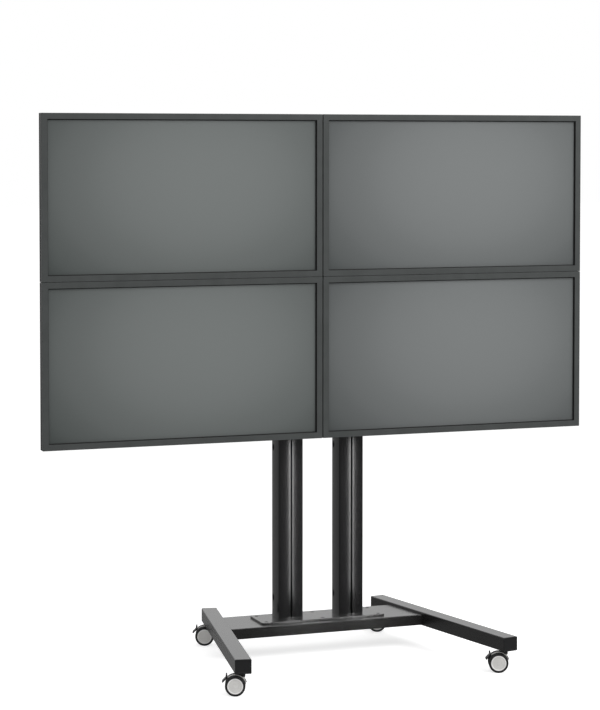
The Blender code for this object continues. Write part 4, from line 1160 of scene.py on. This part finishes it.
def make_caster(name, stem, meshes):
    """One caster, below a stem at that place."""
    caster, pedal = f"{name}_caster", f"{name}_pedal"
    swivel = Matrix.Rotation(CASTER_TURN, 3, "Z")
    axle = swivel @ Vector((-CASTER_TRAIL, 0, 0)) + stem
    pivot = swivel @ Vector((PEDAL_PIVOT[0], 0, PEDAL_PIVOT[1])) + Vector((axle.x, axle.y, AXLE_HEIGHT))
    place = (axle.x, axle.y, AXLE_HEIGHT, CASTER_TURN)
    pieces = [
        ("stem", "stem_collar", (stem.x, stem.y), stem_black, "root", f"{caster}_stem"),
        ("fork", "fork", place, caster_grey, caster, f"{caster}_housing"),
        ("fin", "fin", place, pedal_black, caster),
        ("swivel_ring", "swivel_ring", place, pedal_black, caster),
        ("pedal", "pedal_lever", (*pivot, CASTER_TURN), pedal_black, pedal, f"{caster}_pedal"),
    ]
    for wheel, turn in (("wheel_fore", CASTER_TURN), ("wheel_aft", CASTER_TURN + math.pi)):
        outward = (axle.x, axle.y, AXLE_HEIGHT, turn)
        body = f"{name}_{wheel}"
        pieces.append(("tyre", f"{wheel}_tyre", outward, tyre_black, body, f"{caster}_{wheel}"))
        pieces.append(("hub", f"{wheel}_hub", outward, caster_grey, body))
    for shape, suffix, at, material, body, *nodes in pieces:
        piece = add_piece(f"{name}_{suffix}", moved(copy_of(meshes[shape]), *at), material, body, *nodes)
        if shape == "hub":
            piece.data.materials.append(caster_rim)


# Camera, floor and light

FLOOR_SIZE = 60
FLOOR_GREY = (0.9, 0.9, 0.9, 1)
FLOOR_NEAR = 1.3  # the floor shows shade within this distance of the middle
FLOOR_FAR = 2.6  # and is plain white past this one
FLOOR_LIFT = 0.65  # light added to the near floor, so that only the deeper shade shows
FLOOR_WHITE = 1.06
AMBIENT = 0.62
REFLECTED_HEIGHTS = (-0.25, 0.15)  # sines of elevation
REFLECTED_LEVELS = (0.05, 0.17, 0.34, 0.6, 1.1)  # what glossy surfaces mirror, from low to high
REFLECTED_BEHIND = 0.27  # the least of them behind the object
KEY_PLACE = (3.0, -4.0, 4.6)
KEY_TARGET = (0, 0, 0.9)
KEY_SIZE = (3.0, 3.0)
KEY_POWER = 160
STRIP_DISTANCE = 0.65  # from a column's front to the narrow light that it mirrors
STRIP_HEIGHTS = (0.10, 0.72)
STRIP_DROP = 0.06  # it is aimed that far below its own height, so that the column is darker low down
STRIP_WIDTH = 0.037
STRIP_SPREAD = math.radians(40)
STRIP_POWER = 0.18


def make_camera():
    data = bpy.data.cameras.new("camera")
    data.sensor_width = CAMERA_SENSOR
    data.lens = CAMERA_LENS
    data.shift_y = CAMERA_SHIFT
    camera = new_object("camera", data)
    camera.location = CAMERA_PLACE
    camera.rotation_euler = (math.pi / 2 - CAMERA_PITCH, 0, -CAMERA_YAW)
    bpy.context.scene.camera = camera


def cleared_tree(owner):
    """The empty node tree of a material or world."""
    owner.use_nodes = True
    owner.node_tree.nodes.clear()
    return owner.node_tree


def make_floor():
    """A pale floor: white to the camera but for the object's shade, and not seen in reflections."""
    bm = bmesh.new()
    bmesh.ops.create_grid(bm, x_segments=2, y_segments=2, size=FLOOR_SIZE)
    mesh = mesh_from(bm, "floor")
    floor = new_object("floor", mesh)
    material = bpy.data.materials.new("floor")
    tree = cleared_tree(material)
    ray = node(tree, "LightPath").outputs
    place = node(tree, "TexCoord").outputs["Object"]
    length = node(tree, "VectorMath", {0: place}, operation="LENGTH").outputs["Value"]
    far = between(tree, length, 0, 1, FLOOR_NEAR, FLOOR_FAR)
    diffuse = output(tree, "BsdfDiffuse", {"Color": FLOOR_GREY})
    lift = output(tree, "Emission", {"Strength": FLOOR_LIFT})
    white = output(tree, "Emission", {"Strength": FLOOR_WHITE})
    clear = output(tree, "BsdfTransparent")
    seen = mixed(tree, far, output(tree, "AddShader", {0: diffuse, 1: lift}), white)
    passes = maths(tree, "MAXIMUM", ray["Is Glossy Ray"], ray["Is Transmission Ray"])
    other = mixed(tree, passes, diffuse, clear)
    node(tree, "OutputMaterial", {"Surface": mixed(tree, ray["Is Camera Ray"], other, seen)})
    mesh.materials.append(material)


def make_world():
    """A studio: white to the camera, an even light, and in reflections dim low down and white above."""
    world = bpy.data.worlds.new("studio")
    bpy.context.scene.world = world
    tree = cleared_tree(world)
    ray = node(tree, "LightPath").outputs
    place = node(tree, "TexCoord").outputs["Generated"]
    direction = node(tree, "SeparateXYZ", {"Vector": place}).outputs
    share = between(tree, direction["Z"], 0, 1, *REFLECTED_HEIGHTS)
    levels = run_of(tree, share, [(level, level, level) for level in REFLECTED_LEVELS])
    behind = between(tree, direction["Y"], 0, REFLECTED_BEHIND, 0.2, 0.8)
    glossy = maths(tree, "MAXIMUM", levels, behind)
    lit = output(tree, "Background", {"Color": (1, 1, 1, 1), "Strength": AMBIENT})
    reflected = output(tree, "Background", {"Color": glossy, "Strength": 1.0})
    white = output(tree, "Background", {"Color": (1, 1, 1, 1), "Strength": 1.0})
    seen = maths(tree, "MAXIMUM", ray["Is Camera Ray"], ray["Is Transmission Ray"])
    unseen = mixed(tree, ray["Is Glossy Ray"], lit, reflected)
    node(tree, "OutputWorld", {"Surface": mixed(tree, seen, unseen, white)})


def add_lamp(name, place, target, size, power, spread=math.pi):
    """A rectangular soft light, aimed at a point and not itself seen."""
    data = bpy.data.lights.new(name, "AREA")
    data.shape = "RECTANGLE"
    data.size, data.size_y = size
    data.energy = power
    data.spread = spread
    lamp = new_object(name, data)
    lamp.location = place
    lamp.rotation_euler = (Vector(target) - Vector(place)).to_track_quat("-Z", "Y").to_euler()
    lamp.visible_camera = False


def add_column_strips():
    """A narrow upright light ahead of each column, where its front's middle mirrors it to the camera."""
    low_end, high_end = STRIP_HEIGHTS
    for side_name in SIDES:
        low, _, middle = extent(f"{side_name}_column")
        face = Vector((middle.x, low.y, (low_end + high_end) / 2))
        sight = face - Vector(CAMERA_PLACE)
        mirrored = Vector((sight.x, -sight.y, 0)).normalized()
        place = face + mirrored * STRIP_DISTANCE
        target = face - Vector((0, 0, STRIP_DROP))
        size = (STRIP_WIDTH, high_end - low_end)
        add_lamp(f"{side_name}_strip", place, target, size, STRIP_POWER, STRIP_SPREAD)


bpy.context.scene.view_settings.view_transform = "Standard"
make_camera()
make_world()
make_floor()
add_lamp("key", KEY_PLACE, KEY_TARGET, KEY_SIZE, KEY_POWER)
add_column_strips()
make_legs()
make_cross_member()
make_base_plate()
make_columns()
make_rows()
make_casters()

bpy.context.view_layer.update()
